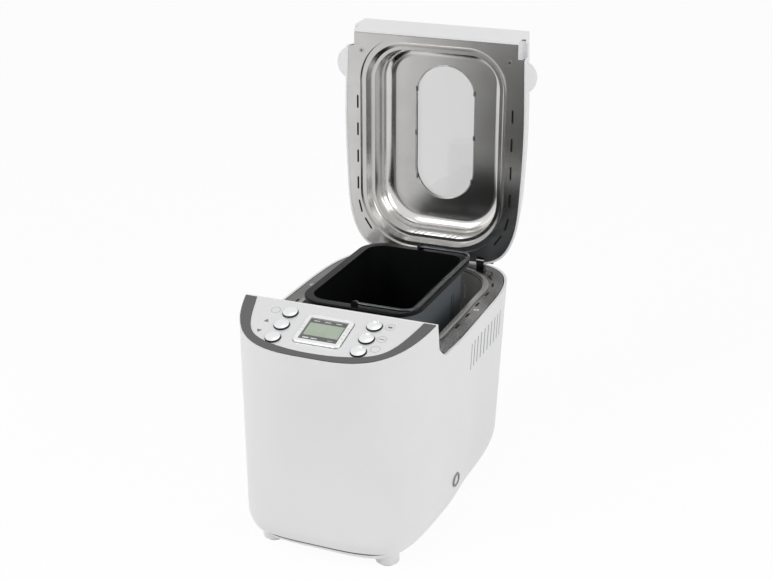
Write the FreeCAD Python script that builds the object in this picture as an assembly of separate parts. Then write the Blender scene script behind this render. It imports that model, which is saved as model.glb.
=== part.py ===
import FreeCAD, Part
import math
import os

from FreeCAD import Rotation, Vector

# Bread machine, millimetres. +Z up, front towards -Y, the floor at Z = 0.
# The lid stands open and the pan sits in the oven.

# A cutting tool runs this far past the face it opens, or this far each way through a wall
OVERCUT = 1.0
THROUGH = 10.0
# Room round a piece that is pressed or dropped into a plain hole
WALL_FIT = 0.05
# Edges within this distance of a plane count as lying on it
TOLERANCE = 0.01

# Outer housing: a drafted plan outline, lofted from the base to the deck
BASE_Z = 8.0
DECK_Z = 247.5
BASE_HALF_WIDTH = 112.5
DECK_HALF_WIDTH = 123.0
BASE_FRONT_Y = -206.1
DECK_FRONT_Y = -217.6
BASE_REAR_Y = 179.8
DECK_REAR_Y = 187.4
HOUSING_TOP_Z = 306.0
HOUSING_WALL = 2.8
BASE_EDGE_RADIUS = 38.0
# The outline is a superellipse, whose front corners are fuller at the base than at the top
BASE_FRONT_FULLNESS = 4.8
TOP_FRONT_FULLNESS = 3.1
REAR_FULLNESS = 4.4
OUTLINE_STEPS = 32
WIDEST_Y = -20.0

# Control head: a plane that falls towards the front from its rear edge
PANEL_REAR_Y = -131.3
PANEL_REAR_Z = 292.4
PANEL_SLOPE = 15.0
PANEL_THICKNESS = 3.0
PANEL_FLOOR = 2.6
PANEL_LIP = 1.0
HEAD_REAR_LIP = 2.4
HEAD_FOOT_Y = -121.3
CHEEK_HALF_WIDTH = 109.5
CHEEK_FOOT_Y = -106.5
CHEEK_FOOT_HEIGHT = 24.0
CHEEK_LEAN = 1.0
CHEEK_SAG_ALONG = 0.42
CHEEK_SAG_UP = 0.36
CHEEK_ROOT = 20.0
HEAD_DEPTH = 60.0
HEAD_CLEARANCE = 20.0
FASCIA_HALF_WIDTH = 103.0
FASCIA_DEPTH = 81.0
FASCIA_SHAPE = ((1.0, 0.0), (0.92, 0.37), (0.75, 0.77), (0.45, 0.94))
FASCIA_GAP = 0.2
TRIM_PROUD = 0.8

# Display and its bezel, measured down the panel from its rear edge
DISPLAY_HALF_WIDTH = 23.0
DISPLAY_HALF_HEIGHT = 19.0
DISPLAY_DOWN = 42.0
BEZEL_BORDER = 5.6
BEZEL_PROUD = 2.4
BEZEL_CORNER = 6.0
BEZEL_EDGE_RADIUS = 1.4
DISPLAY_LENS_THICKNESS = 1.2

# Six buttons in two columns
BUTTON_RADIUS = 8.5
BUTTON_PROUD = 3.4
BUTTON_DOME = 1.3
BUTTON_COLUMN_X = 51.5
BUTTON_ROW_PITCH = 23.2
BUTTON_GAP = 0.45
BUTTON_FLANGE = 1.4
BUTTON_FLANGE_THICKNESS = 1.2
BUTTON_FLANGE_GAP = 0.3
BUTTON_STEM_RADIUS = 2.6
BUTTON_TRAVEL = 1.2
BUTTON_STEM_LENGTH = 5.0
KEY_SWITCH_SIZE = 6.0
KEY_SWITCH_HEIGHT = 4.0
KEY_SWITCH_GAP = 0.3
BOARD_THICKNESS = 1.6
CONTROL_BOARD_HALF_WIDTH = 66.0
CONTROL_BOARD_BORDER = 3.0
BOARD_POST_RADIUS = 2.5
BOARD_POST_INSET = 4.0

# Deck, the steel top plate round the oven mouth
SHEET = 0.8
DECK_EDGE = 3.0
DECK_GAP = 0.15
RIM_GAP = 0.3
LEDGE_THICKNESS = 2.8
SLOT_LENGTH = 12.0
SLOT_WIDTH = 2.2
SLOT_X = 104.6
SLOT_FIRST_Y = -25.5
SLOT_PITCH = 36.5
SLOT_COUNT = 4
CORNER_SLOTS = ((101.5, 116.0, -14.0), (90.4, 139.0, -34.0))
DECK_SCREWS = ((109.4, 29.5), (83.0, 153.4))
SCREW_HEAD_RADIUS = 3.4
SCREW_HEAD_HEIGHT = 0.5
SCREW_SHANK_RADIUS = 1.5
SCREW_LENGTH = 8.0
SCREW_BOSS_RADIUS = 4.0
SCREW_TIP_COVER = 1.0

# Oven chamber, a drawn steel tub with a rolled edge that stands above the deck
OVEN_CENTRE_Y = 25.9
RIM_HALF_WIDTH = 100.5
RIM_HALF_LENGTH = 138.0
RIM_FRONT_CORNER = 58.0
RIM_REAR_CORNER = 72.0
RIM_BEAD = 6.0
RIM_HEIGHT = 1.9
RIM_EDGE_RADIUS = 1.7
OVEN_WALL_INSET = 8.0
OVEN_FLOOR_Z = 80.0
OVEN_FLOOR_INSET = 6.0
OVEN_LIP = 5.0
OVEN_LIP_GAP = 1.0
REAR_SLOT_X = 53.5
REAR_SLOT_WIDTH = 3.2
REAR_SLOT_HEIGHT = 22.5
REAR_SLOT_TOP_Z = (232.0, 201.0)

# Bread pan
PAN_CENTRE_Y = 19.0
PAN_HALF_WIDTH = 63.5
PAN_HALF_LENGTH = 99.0
PAN_CORNER = 22.0
PAN_RIM_Z = 279.5
PAN_RIM_WIDTH = 11.0
PAN_RIM_DROP = 4.0
PAN_RIM_EDGE_RADIUS = 1.5
PAN_FLOOR_RADIUS = 8.0
PAN_WALL = 1.6
PAN_FLOOR_Z = 104.0
PAN_TAPER = 3.5
PAN_EAR_RADIUS = 4.0
PAN_EAR_THICKNESS = 2.0
PAN_EAR_INSET = 3.4
PAN_BASE_HALF_WIDTH = 42.0
PAN_BASE_HALF_LENGTH = 84.0
PAN_BASE_CORNER = 25.0
PAN_BASE_WALL = 3.0
PAN_BASE_GAP = 0.4
SEAT_HEIGHT = 12.0
SEAT_WALL = 2.4
CLIP_THICKNESS = 1.5
CLIP_HALF_WIDTH = 7.0
CLIP_RISE = 6.0
CLIP_FOOT = 8.0

# Bail handle, folded onto the right rim
HANDLE_RADIUS = 1.9
HANDLE_SIDE_X = 71.0
HANDLE_BEND = 16.0
HANDLE_LIFT = 3.4
PIVOT_RADIUS = 1.5
PIVOT_GAP = 0.06
HANDLE_EYE_RADIUS = 2.9
HANDLE_EYE_SETBACK = 0.3
HANDLE_EYE_LAP = 0.8
HANDLE_SIDE_GAP = 0.4
PIVOT_HEAD = 0.8

# Kneading drive
PADDLE_PITCH = 100.0
SHAFT_RADIUS = 4.0
SHAFT_GAP = 0.05
BEARING_RADIUS = 11.0
BEARING_GAP = 1.5
CHASSIS_Z = 56.0
CHASSIS_THICKNESS = 2.0
CHASSIS_HALF_WIDTH = 58.0
CHASSIS_FRONT_Y = -176.0
CHASSIS_REAR_Y = 104.0
CHASSIS_CORNER = 12.0
CHASSIS_LEG_RADIUS = 5.0
CHASSIS_LEG_X = 50.0
CHASSIS_LEG_Y = (-142.0, -16.0, 92.0)
CHASSIS_HOLE_GAP = 1.0
BASE_PLATE_THICKNESS = 2.6
BASE_OPENING_INSET = 43.0
BASE_PLATE_OVERLAP = 4.0
BASE_VENT_COUNT = 8
BASE_VENT_LENGTH = 50.0
BASE_VENT_WIDTH = 3.0
BASE_VENT_PITCH = 12.0
BASE_VENT_Y = 60.0
LARGE_PULLEY_RADIUS = 40.0
SMALL_PULLEY_RADIUS = 19.0
MOTOR_PULLEY_RADIUS = 8.0
PULLEY_WIDTH = 9.0
PULLEY_FLANGE = 1.6
PULLEY_FLANGE_RISE = 2.2
PULLEY_HOLE_COUNT = 6
PULLEY_HOLE_RADIUS = 8.0
PULLEY_HOLE_CIRCLE = 23.0
LOWER_PULLEY_Z = 21.0
UPPER_PULLEY_Z = 38.0
BELT_THICKNESS = 1.6
BELT_GAP = 0.35
BELT_SIDE_GAP = 0.6
MOTOR_Y = -147.0
MOTOR_RADIUS = 31.0
MOTOR_HEIGHT = 72.0
MOTOR_CAP_HEIGHT = 10.0
MOTOR_CAP_RADIUS = 17.0
MOTOR_BAND = 2.0
MOTOR_BAND_LOW = 22.0
MOTOR_BAND_HEIGHT = 29.0
MOTOR_SHAFT_DEPTH = 36.0
MOTOR_BORE_DEPTH = 42.0
MOTOR_SHAFT_RADIUS = 3.0
CAPACITOR_RADIUS = 11.0
CAPACITOR_HEIGHT = 44.0
CAPACITOR_X = -46.0
POWER_BOARD_X = 50.0
POWER_BOARD_HALF_LENGTH = 26.0
POWER_BOARD_HEIGHT = 96.0
# Boxes on the power board: along it from the motor, then up it from the chassis
RELAY_BOX = (-22.0, -4.0, 66.0, 88.0)
TRANSFORMER_BOX = (1.0, 23.0, 62.0, 88.0)
FUSE_BOX = (-20.0, 10.0, 20.0, 28.0)
RELAY_DEPTH = 14.0
FUSE_DEPTH = 8.0
DOG_RADIUS = 15.0
DOG_HEIGHT = 8.0
DOG_BAR = 6.0
DOG_GAP = 0.6
DOG_LIFT = 2.0
DOG_DISC = 1.5
DOG_EAR_THICKNESS = 4.0
DOG_EAR_HALF_WIDTH = 7.0
WING_LENGTH = 22.0
WING_HEIGHT = 6.0
PAN_BUSH_RADIUS = 8.0
PAN_BUSH_LENGTH = 12.0
PAN_BUSH_RISE = 2.0
SEAL_RADIUS = 7.0
SEAL_THICKNESS = 2.0
PADDLE_HUB_RADIUS = 8.0
PADDLE_HUB_HEIGHT = 24.0
PADDLE_HUB_TOP_RADIUS = 6.4
PADDLE_HUB_ROUND = 2.0
PADDLE_CAP = 4.0
PADDLE_REACH = 41.0
PADDLE_BLADE_HEIGHT = 34.0
PADDLE_NECK_HEIGHT = 19.0
PADDLE_TIP = (39.0, 18.7)
PADDLE_CREST_REACH = 25.4
PADDLE_BOW = 3.0
PADDLE_BLADE_THICKNESS = 5.0
PADDLE_ANGLE = 35.0

# Heating element
HEATER_RADIUS = 3.3
HEATER_Z = 112.0
HEATER_CLEARANCE = 14.0
HEATER_FRONT_CLEARANCE = 7.7
HEATER_CORNER = 30.0
HEATER_LEAD_X = 18.0
HEATER_LEAD_BEND = 3.6
HEATER_LEAD_OUT = 16.0
INSULATOR_RADIUS = 6.0
INSULATOR_SETBACK = 4.0
INSULATOR_LENGTH = 13.0
HEATER_POST_HALF_WIDTH = 5.0
HEATER_POST_HALF_DEPTH = 2.0
PROBE_RADIUS = 3.5
PROBE_X = 45.0
PROBE_Z = 170.0
PROBE_TAIL = 8.0
PROBE_LENGTH = 14.0
PROBE_COLLAR = 3.0
PROBE_COLLAR_LENGTH = 5.0

# Lid, drawn closed and then swung open about its hinge
LID_GAP = 0.7
HINGE_Y = 173.0
HINGE_Z = 255.2
LID_WALL = 2.5
LID_SIDE_DRAFT = 9.0
LID_REAR_DRAFT = 3.6
LID_REAR_BOW = 3.0
LID_REAR_TAPER = 0.5
LID_FRONT_Y = -118.3
LID_FRONT_LEAN = 7.1
LID_CORNER_HALF_WIDTH = 119.5
LID_SIDE = ((122.2, -10.0), (119.4, 81.0), (109.5, 142.0), (95.0, 164.0))
LID_REAR_HALF_WIDTH = 60.0
LID_DRAFT_TOP_Z = 288.2
LID_CROWN = ((-70.0, 299.0), (20.0, 303.0), (110.0, 301.0))
LID_CROWN_REAR_Z = 288.0
LID_CROWN_RUN = 20.0
LID_CROWN_FALL = 6.0
LID_TOP_Z = 310.0
LID_TURN = 90.0
LID_NOTCH_X = 109.0
LID_NOTCH_Y = -97.6
LID_NOTCH_HEIGHT = 18.0
GRIP_RADIUS = 21.5
GRIP_Y = -75.3
GRIP_REACH = 132.7
GRIP_THICKNESS = 8.0
GRIP_EDGE_RADIUS = 2.5
LINER_GAP = 0.4
GROOVE_DEPTH = 3.2
GROOVE_GAP = 0.5
DOME_DEPTH = 44.0
DOME_LEDGE_DEPTH = 9.0
DOME_LEDGE_INSET = 12.0
DOME_WALL_INSET = 16.0
DOME_DRAFT = 1.0
DOME_EDGE_RADIUS = 15.0
WINDOW_HALF_WIDTH = 40.0
WINDOW_HALF_LENGTH = 89.0
WINDOW_Y = 17.2
WINDOW_LAP = 5.0
PANE_LAP = 4.0
PANE_GAP = 0.1
PANE_THICKNESS = 2.0
GASKET_WIDTH = 3.0
LID_SCREW_X = 98.9
LID_SCREW_Y = -92.8
BARREL_RADIUS = 7.0
BARREL_SETBACK = 0.5
HINGE_X = 67.0
HINGE_LUG_WIDTH = 10.0
HINGE_LUG_RADIUS = 6.0
HINGE_SIDE_GAP = 0.5
HINGE_BOSS_WIDTH = 11.0
HINGE_PIN_RADIUS = 2.0
HINGE_FOOT = 13.0
LUG_SLOT_GAP = 0.3
HINGE_FOOT_THICKNESS = 3.0
HINGE_NECK_REAR = 1.0

# Feet, side vents, rocker switch and the cord gland
FOOT_X = 73.0
FOOT_FRONT_Y = -163.6
FOOT_REAR_Y = 140.0
FOOT_RADIUS = 14.0
FOOT_PAD_RADIUS = 11.0
FOOT_PAD_THICKNESS = 1.6
FOOT_RISE = 6.0
FOOT_EDGE_RADIUS = 1.5
VENT_COUNT = 10
VENT_FIRST_Y = -19.6
VENT_PITCH = 12.5
VENT_WIDTH = 2.0
VENT_BOTTOM_Z = 195.0
VENT_TOP_Z = 225.0
ROCKER_Y = -51.6
ROCKER_Z = 58.5
ROCKER_HALF_LENGTH = 8.0
ROCKER_HALF_HEIGHT = 5.4
ROCKER_FRAME = 2.4
ROCKER_DEPTH = 15.0
ROCKER_GAP = 0.5
ROCKER_TILT = 7.0
ROCKER_LIP = 1.0
ROCKER_FLANGE = 1.6
ROCKER_BACK = 2.5
ROCKER_PIN_RADIUS = 1.0
ROCKER_PIN_DEPTH = 4.0
ROCKER_PIN_LAP = 0.5
ROCKER_BODY = 7.0
ROCKER_PROUD = 1.4
ROCKER_DISH = 1.0
ROCKER_DISH_RADIUS = 60.0
# Cutting tools for the walls start inside them, from here out
SIDE_INNER_X = 80.0
REAR_INNER_Y = 150.0
GLAND_X = 60.0
GLAND_Z = 60.0
GLAND_RADIUS = 8.0
GLAND_BORE = 3.8
GLAND_FLANGE = 2.5
GLAND_SLEEVE = 12.0
GLAND_ROOT = 6.0

FAR = 400.0
SLOPE_COS = math.cos(math.radians(PANEL_SLOPE))
SLOPE_SIN = math.sin(math.radians(PANEL_SLOPE))
X_AXIS = Vector(1, 0, 0)
Y_AXIS = Vector(0, 1, 0)
Z_AXIS = Vector(0, 0, 1)


def box(x0, x1, y0, y1, z0, z1):
    return Part.makeBox(x1 - x0, y1 - y0, z1 - z0, Vector(x0, y0, z0))


def rod(radius, start, axis, length):
    return Part.makeCylinder(radius, length, Vector(*start), axis)


def tube(radius, bore, start, axis, length):
    return rod(radius, start, axis, length).cut(rod(bore, start, axis, length))


def mirror_x(shape):
    return shape.mirror(Vector(0, 0, 0), X_AXIS)


def both_sides(shape):
    return Part.makeCompound([shape, mirror_x(shape)])


def prism_z(wire, height):
    return Part.Face(wire).extrude(Vector(0, 0, height))


def prism_x(points, x0, x1):
    corners = [Vector(x0, y, z) for y, z in points]
    return Part.Face(Part.makePolygon(corners + corners[:1])).extrude(Vector(x1 - x0, 0, 0))


def fuse(shapes):
    return shapes[0].multiFuse(shapes[1:]).removeSplitter()


def cut_all(shape, tools):
    return shape.cut(Part.makeCompound(tools))


def rounded_rect(half_width, half_length, centre_y, front_corner, rear_corner, z):
    front = centre_y - half_length
    rear = centre_y + half_length
    edges = []
    corners = ((1, front, front_corner), (1, rear, rear_corner), (-1, rear, rear_corner),
               (-1, front, front_corner))
    ends = []
    for side, y, radius in corners:
        into = 1 if y == front else -1
        along_x = Vector(side * (half_width - radius), y, z)
        along_y = Vector(side * half_width, y + into * radius, z)
        bow = radius * (1 - math.sqrt(0.5))
        middle = Vector(side * (half_width - bow), y + into * bow, z)
        first, last = (along_x, along_y) if side * into > 0 else (along_y, along_x)
        ends.append((first, middle, last))
    for index, (first, middle, last) in enumerate(ends):
        edges.append(Part.Arc(first, middle, last).toShape())
        following = ends[(index + 1) % len(ends)][0]
        if last.distanceToPoint(following) > TOLERANCE / 2:
            edges.append(Part.LineSegment(last, following).toShape())
    return Part.Wire(edges)


def slot_along(length, width, height, place, turn):
    half = length / 2 - width / 2
    body = box(-width / 2, width / 2, -half, half, 0, height)
    ends = [rod(width / 2, (0, y, 0), Z_AXIS, height) for y in (-half, half)]
    shape = fuse([body] + ends)
    shape.Placement = FreeCAD.Placement(Vector(*place), Rotation(Z_AXIS, turn))
    return shape


def body_outline(z, inset):
    rise = (z - BASE_Z) / (DECK_Z - BASE_Z)
    half_width = BASE_HALF_WIDTH + rise * (DECK_HALF_WIDTH - BASE_HALF_WIDTH) - inset
    front = BASE_FRONT_Y + rise * (DECK_FRONT_Y - BASE_FRONT_Y) + inset
    rear = BASE_REAR_Y + rise * (DECK_REAR_Y - BASE_REAR_Y) - inset
    share = (z - BASE_Z) / (HOUSING_TOP_Z - BASE_Z)
    front_fullness = BASE_FRONT_FULLNESS + share * (TOP_FRONT_FULLNESS - BASE_FRONT_FULLNESS)
    points = []
    for step in range(OUTLINE_STEPS):
        turn = 2 * math.pi * step / OUTLINE_STEPS
        across, along = math.cos(turn), math.sin(turn)
        fullness = REAR_FULLNESS if along > 0 else front_fullness
        reach = rear - WIDEST_Y if along > 0 else WIDEST_Y - front
        x = half_width * math.copysign(abs(across) ** (2 / fullness), across)
        y = WIDEST_Y + reach * math.copysign(abs(along) ** (2 / fullness), along)
        points.append(Vector(x, y, z))
    curve = Part.BSplineCurve()
    curve.interpolate(Points=points, PeriodicFlag=True)
    return Part.Wire(curve.toShape())


def body_solid(inset, bottom_z, top_z):
    return Part.makeLoft([body_outline(bottom_z, inset), body_outline(top_z, inset)], True)


def round_bottom(solid, z, radius):
    return solid.makeFillet(radius, [edge for edge in solid.Edges if edge.BoundBox.ZMax < z + TOLERANCE])


def round_top(solid, z, radius):
    return solid.makeFillet(radius, [edge for edge in solid.Edges if edge.BoundBox.ZMin > z - TOLERANCE])


def panel_height(y):
    return PANEL_REAR_Z + (y - PANEL_REAR_Y) * SLOPE_SIN / SLOPE_COS


def on_panel(shape):
    tilt = FreeCAD.Placement(Vector(0, PANEL_REAR_Y, PANEL_REAR_Z), Rotation(X_AXIS, PANEL_SLOPE))
    shape.Placement = tilt.multiply(shape.Placement)
    return shape


def head_profile(below, ahead, deck_z):
    top_y = PANEL_REAR_Y + HEAD_REAR_LIP - ahead
    drop = below / SLOPE_COS
    return [(-FAR, panel_height(-FAR) - drop), (top_y, panel_height(top_y) - drop),
            (HEAD_FOOT_Y - ahead, deck_z), (FAR, deck_z)]


def make_housing():
    outer = round_bottom(body_solid(0, BASE_Z, HOUSING_TOP_Z), BASE_Z, BASE_EDGE_RADIUS)
    middle = prism_x(head_profile(0, 0, DECK_Z) + [(FAR, FAR), (-FAR, FAR)], -FAR, FAR)
    trimmed = outer.cut(middle)
    cheeks = outer.common(cheek_slab()).cut(box(-CHEEK_HALF_WIDTH, CHEEK_HALF_WIDTH, -FAR, FAR, 0, FAR))
    shell = fuse([trimmed, cheeks])
    floor_z = BASE_Z + HOUSING_WALL
    cavity = round_bottom(body_solid(HOUSING_WALL, floor_z, HOUSING_TOP_Z), floor_z,
                          BASE_EDGE_RADIUS - HOUSING_WALL)
    ceiling = PANEL_THICKNESS + PANEL_FLOOR
    ledge_z = DECK_Z - SHEET - LEDGE_THICKNESS
    under = prism_x(head_profile(ceiling, HOUSING_WALL, ledge_z) + [(FAR, 0), (-FAR, 0)], -FAR, FAR)
    shell = shell.cut(cavity.common(under))
    shell = fuse([shell] + screw_bosses(ledge_z) + board_posts())
    mouth = prism_z(oven_plan(-OVEN_LIP - OVEN_LIP_GAP, ledge_z - OVERCUT), DECK_Z - ledge_z + 2 * OVERCUT)
    seat = body_solid(DECK_EDGE, DECK_Z - SHEET, DECK_Z + OVERCUT)
    shell = cut_all(shell, [mouth, seat.common(deck_region(0))] + lug_slots() + screw_holes())
    shell = shell.cut(body_solid(BASE_OPENING_INSET, BASE_Z - OVERCUT, floor_z + OVERCUT))
    shell = cut_all(shell, [panel_recess()] + panel_holes() + side_openings())
    return shell


def cheek_slab():
    foot = DECK_Z + CHEEK_FOOT_HEIGHT
    back = PANEL_REAR_Y + HEAD_REAR_LIP
    top = panel_height(back)
    start = Vector(0, back, top)
    shoulder = Vector(0, back + CHEEK_LEAN, foot)
    toe = Vector(0, CHEEK_FOOT_Y, DECK_Z)
    sag = Vector(0, back + CHEEK_SAG_ALONG * (CHEEK_FOOT_Y - back), DECK_Z + CHEEK_SAG_UP * CHEEK_FOOT_HEIGHT)
    front = Vector(0, HEAD_FOOT_Y - CHEEK_ROOT, DECK_Z)
    front_top = Vector(0, front.y, panel_height(front.y))
    edges = [Part.LineSegment(start, shoulder), Part.Arc(shoulder, sag, toe), Part.LineSegment(toe, front),
             Part.LineSegment(front, front_top), Part.LineSegment(front_top, start)]
    face = Part.Face(Part.Wire([edge.toShape() for edge in edges]))
    return face.extrude(Vector(2 * FAR, 0, 0)).translated(Vector(-FAR, 0, 0))


def deck_region(grow):
    middle = box(-CHEEK_HALF_WIDTH - grow, CHEEK_HALF_WIDTH + grow, HEAD_FOOT_Y - grow, FAR, 0, FAR)
    rear = box(-FAR, FAR, CHEEK_FOOT_Y - grow, FAR, 0, FAR)
    return fuse([middle, rear])


def fascia_wire(grow):
    width = FASCIA_HALF_WIDTH + grow
    depth = FASCIA_DEPTH + grow
    half = [Vector(share * width, -down * depth, 0) for share, down in FASCIA_SHAPE]
    left = [Vector(-point.x, point.y, 0) for point in half]
    curve = Part.BSplineCurve()
    curve.interpolate(half + [Vector(0, -depth, 0)] + left[::-1])
    return Part.Wire([curve.toShape(), Part.LineSegment(left[0], half[0]).toShape()])


def panel_slab(low, high):
    return on_panel(box(-FAR, FAR, -FAR, 0, low, high))


def panel_plug():
    return body_solid(PANEL_LIP, DECK_Z - HEAD_DEPTH, HOUSING_TOP_Z)


def panel_recess():
    return panel_slab(-PANEL_THICKNESS, HEAD_CLEARANCE).common(panel_plug())


def button_places():
    rows = [-DISPLAY_DOWN + step * BUTTON_ROW_PITCH for step in (1, 0, -1)]
    return [(side * BUTTON_COLUMN_X, down) for side in (-1, 1) for down in rows]


def panel_holes():
    low = -PANEL_THICKNESS - PANEL_FLOOR - HEAD_CLEARANCE
    radius = BUTTON_RADIUS + BUTTON_FLANGE + BUTTON_GAP
    holes = [on_panel(rod(radius, (x, y, low), Z_AXIS, -low)) for x, y in button_places()]
    half_w = DISPLAY_HALF_WIDTH + BEZEL_BORDER / 2
    half_h = DISPLAY_HALF_HEIGHT + BEZEL_BORDER / 2
    holes.append(on_panel(display_box(half_w, half_h, low, 0)))
    return holes


def display_box(half_width, half_height, low, high):
    return box(-half_width, half_width, -DISPLAY_DOWN - half_height, -DISPLAY_DOWN + half_height, low, high)


def make_fascia():
    plate = prism_z(fascia_wire(0), PANEL_THICKNESS).translated(Vector(0, 0, -PANEL_THICKNESS))
    radius = BUTTON_RADIUS + BUTTON_GAP
    holes = [rod(radius, (x, y, -THROUGH), Z_AXIS, 2 * THROUGH) for x, y in button_places()]
    half_w = DISPLAY_HALF_WIDTH + BEZEL_BORDER / 2
    half_h = DISPLAY_HALF_HEIGHT + BEZEL_BORDER / 2
    holes.append(display_box(half_w, half_h, -THROUGH, THROUGH))
    return on_panel(cut_all(plate, holes))


def make_trim():
    band = panel_slab(-PANEL_THICKNESS, TRIM_PROUD).common(panel_plug())
    inside = prism_z(fascia_wire(FASCIA_GAP), 2 * THROUGH).translated(Vector(0, 0, -THROUGH))
    return band.cut(on_panel(inside))


def make_bezel():
    half_w = DISPLAY_HALF_WIDTH + BEZEL_BORDER
    half_h = DISPLAY_HALF_HEIGHT + BEZEL_BORDER
    frame = prism_z(rounded_rect(half_w, half_h, -DISPLAY_DOWN, BEZEL_CORNER, BEZEL_CORNER, 0), BEZEL_PROUD)
    frame = round_top(frame, BEZEL_PROUD, BEZEL_EDGE_RADIUS)
    inner_w = DISPLAY_HALF_WIDTH + BEZEL_BORDER / 2 - FASCIA_GAP
    inner_h = DISPLAY_HALF_HEIGHT + BEZEL_BORDER / 2 - FASCIA_GAP
    skirt = display_box(inner_w, inner_h, -PANEL_THICKNESS, 0)
    opening = display_box(DISPLAY_HALF_WIDTH, DISPLAY_HALF_HEIGHT, -THROUGH, THROUGH)
    return on_panel(fuse([frame, skirt]).cut(opening))


def make_display_lens():
    return on_panel(display_box(DISPLAY_HALF_WIDTH, DISPLAY_HALF_HEIGHT, 0, DISPLAY_LENS_THICKNESS))


def make_display_module():
    return on_panel(display_box(DISPLAY_HALF_WIDTH, DISPLAY_HALF_HEIGHT, board_top(), 0))


def make_button(x, y):
    crown = BUTTON_PROUD - BUTTON_DOME
    ball = (BUTTON_RADIUS ** 2 + BUTTON_DOME ** 2) / (2 * BUTTON_DOME)
    flange_top = -PANEL_THICKNESS - BUTTON_FLANGE_GAP
    flange_low = flange_top - BUTTON_FLANGE_THICKNESS
    side = [Vector(0, 0, flange_low), Vector(BUTTON_RADIUS + BUTTON_FLANGE, 0, flange_low),
            Vector(BUTTON_RADIUS + BUTTON_FLANGE, 0, flange_top), Vector(BUTTON_RADIUS, 0, flange_top),
            Vector(BUTTON_RADIUS, 0, crown)]
    lean = math.asin(BUTTON_RADIUS / ball) / 2
    bow = Vector(ball * math.sin(lean), 0, BUTTON_PROUD - ball * (1 - math.cos(lean)))
    top = Vector(0, 0, BUTTON_PROUD)
    edges = [Part.LineSegment(a, b).toShape() for a, b in zip(side, side[1:])]
    edges.append(Part.Arc(side[-1], bow, top).toShape())
    edges.append(Part.LineSegment(top, side[0]).toShape())
    cap = Part.Face(Part.Wire(edges)).revolve(Vector(0, 0, 0), Z_AXIS, 360)
    stem = rod(BUTTON_STEM_RADIUS, (0, 0, flange_low - BUTTON_STEM_LENGTH), Z_AXIS, BUTTON_STEM_LENGTH)
    button = fuse([cap, stem])
    button.translate(Vector(x, y, 0))
    return on_panel(button)


def board_top():
    stem_end = -PANEL_THICKNESS - BUTTON_FLANGE_GAP - BUTTON_FLANGE_THICKNESS - BUTTON_STEM_LENGTH
    return stem_end - BUTTON_TRAVEL - KEY_SWITCH_GAP - KEY_SWITCH_HEIGHT


def board_reach():
    return BUTTON_ROW_PITCH + BUTTON_RADIUS + CONTROL_BOARD_BORDER


def make_control_board():
    top = board_top()
    rows = board_reach()
    board = display_box(CONTROL_BOARD_HALF_WIDTH, rows, top - BOARD_THICKNESS, top)
    half = KEY_SWITCH_SIZE / 2
    keys = [box(x - half, x + half, y - half, y + half, top, top + KEY_SWITCH_HEIGHT)
            for x, y in button_places()]
    return Part.makeCompound([on_panel(piece) for piece in [board] + keys])


def board_posts():
    top = board_top()
    rows = board_reach() - BOARD_POST_INSET
    across = CONTROL_BOARD_HALF_WIDTH - BOARD_POST_INSET
    length = -PANEL_THICKNESS - PANEL_FLOOR / 2 - top
    return [on_panel(rod(BOARD_POST_RADIUS, (x, -DISPLAY_DOWN + y, top), Z_AXIS, length))
            for x in (-across, across) for y in (-rows, rows)]


def side_slots(z):
    slots = []
    for index in range(SLOT_COUNT):
        slots.append(side_slot(SLOT_X, SLOT_FIRST_Y + index * SLOT_PITCH, z, 0))
    for x, y, turn in CORNER_SLOTS:
        slots.append(side_slot(x, y, z, -turn))
    return slots + [mirror_x(slot) for slot in slots]


def side_slot(x, y, z, turn):
    return slot_along(SLOT_LENGTH, SLOT_WIDTH, 2 * THROUGH, (x, y, z - THROUGH), turn)


def make_deck():
    plate = body_solid(DECK_EDGE + DECK_GAP, DECK_Z - SHEET, DECK_Z).common(deck_region(-DECK_GAP))
    mouth = prism_z(oven_plan(-RIM_GAP, DECK_Z - THROUGH), 2 * THROUGH)
    return cut_all(plate, [mouth] + side_slots(DECK_Z) + lug_slots() + screw_holes())


def screw(x, y, z):
    head = rod(SCREW_HEAD_RADIUS, (x, y, z), Z_AXIS, SCREW_HEAD_HEIGHT)
    shank = rod(SCREW_SHANK_RADIUS, (x, y, z - SCREW_LENGTH), Z_AXIS, SCREW_LENGTH)
    return fuse([head, shank])


def make_deck_screws():
    return Part.makeCompound([screw(x, y, DECK_Z) for x, y in deck_screw_places()])


def deck_screw_places():
    return [(side * x, y) for side in (-1, 1) for x, y in DECK_SCREWS]


def screw_bosses(top):
    length = SCREW_LENGTH - SHEET - LEDGE_THICKNESS + SCREW_TIP_COVER
    return [rod(SCREW_BOSS_RADIUS, (x, y, top - length), Z_AXIS, length) for x, y in deck_screw_places()]


def screw_holes():
    return [rod(SCREW_SHANK_RADIUS, (x, y, DECK_Z - SCREW_LENGTH), Z_AXIS, SCREW_LENGTH + OVERCUT)
            for x, y in deck_screw_places()]


def lug_slots():
    half = HINGE_LUG_WIDTH / 2 + LUG_SLOT_GAP
    reach = HINGE_LUG_RADIUS + LUG_SLOT_GAP
    slot = box(HINGE_X - half, HINGE_X + half, HINGE_Y - reach, HINGE_Y + reach, DECK_Z - THROUGH, FAR)
    return [slot, mirror_x(slot)]


def oven_plan(inset, z, shrink=0.0):
    return rounded_rect(RIM_HALF_WIDTH - inset - shrink, RIM_HALF_LENGTH - inset - shrink, OVEN_CENTRE_Y,
                        RIM_FRONT_CORNER - inset - shrink, RIM_REAR_CORNER - inset - shrink, z)


def oven_tub(inset, low):
    return Part.makeLoft([oven_plan(inset, low, OVEN_FLOOR_INSET), oven_plan(inset, DECK_Z)], True)


def oven_inset(z):
    rise = (z - OVEN_FLOOR_Z) / (DECK_Z - OVEN_FLOOR_Z)
    return OVEN_WALL_INSET + OVEN_FLOOR_INSET * (1 - rise)


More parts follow.
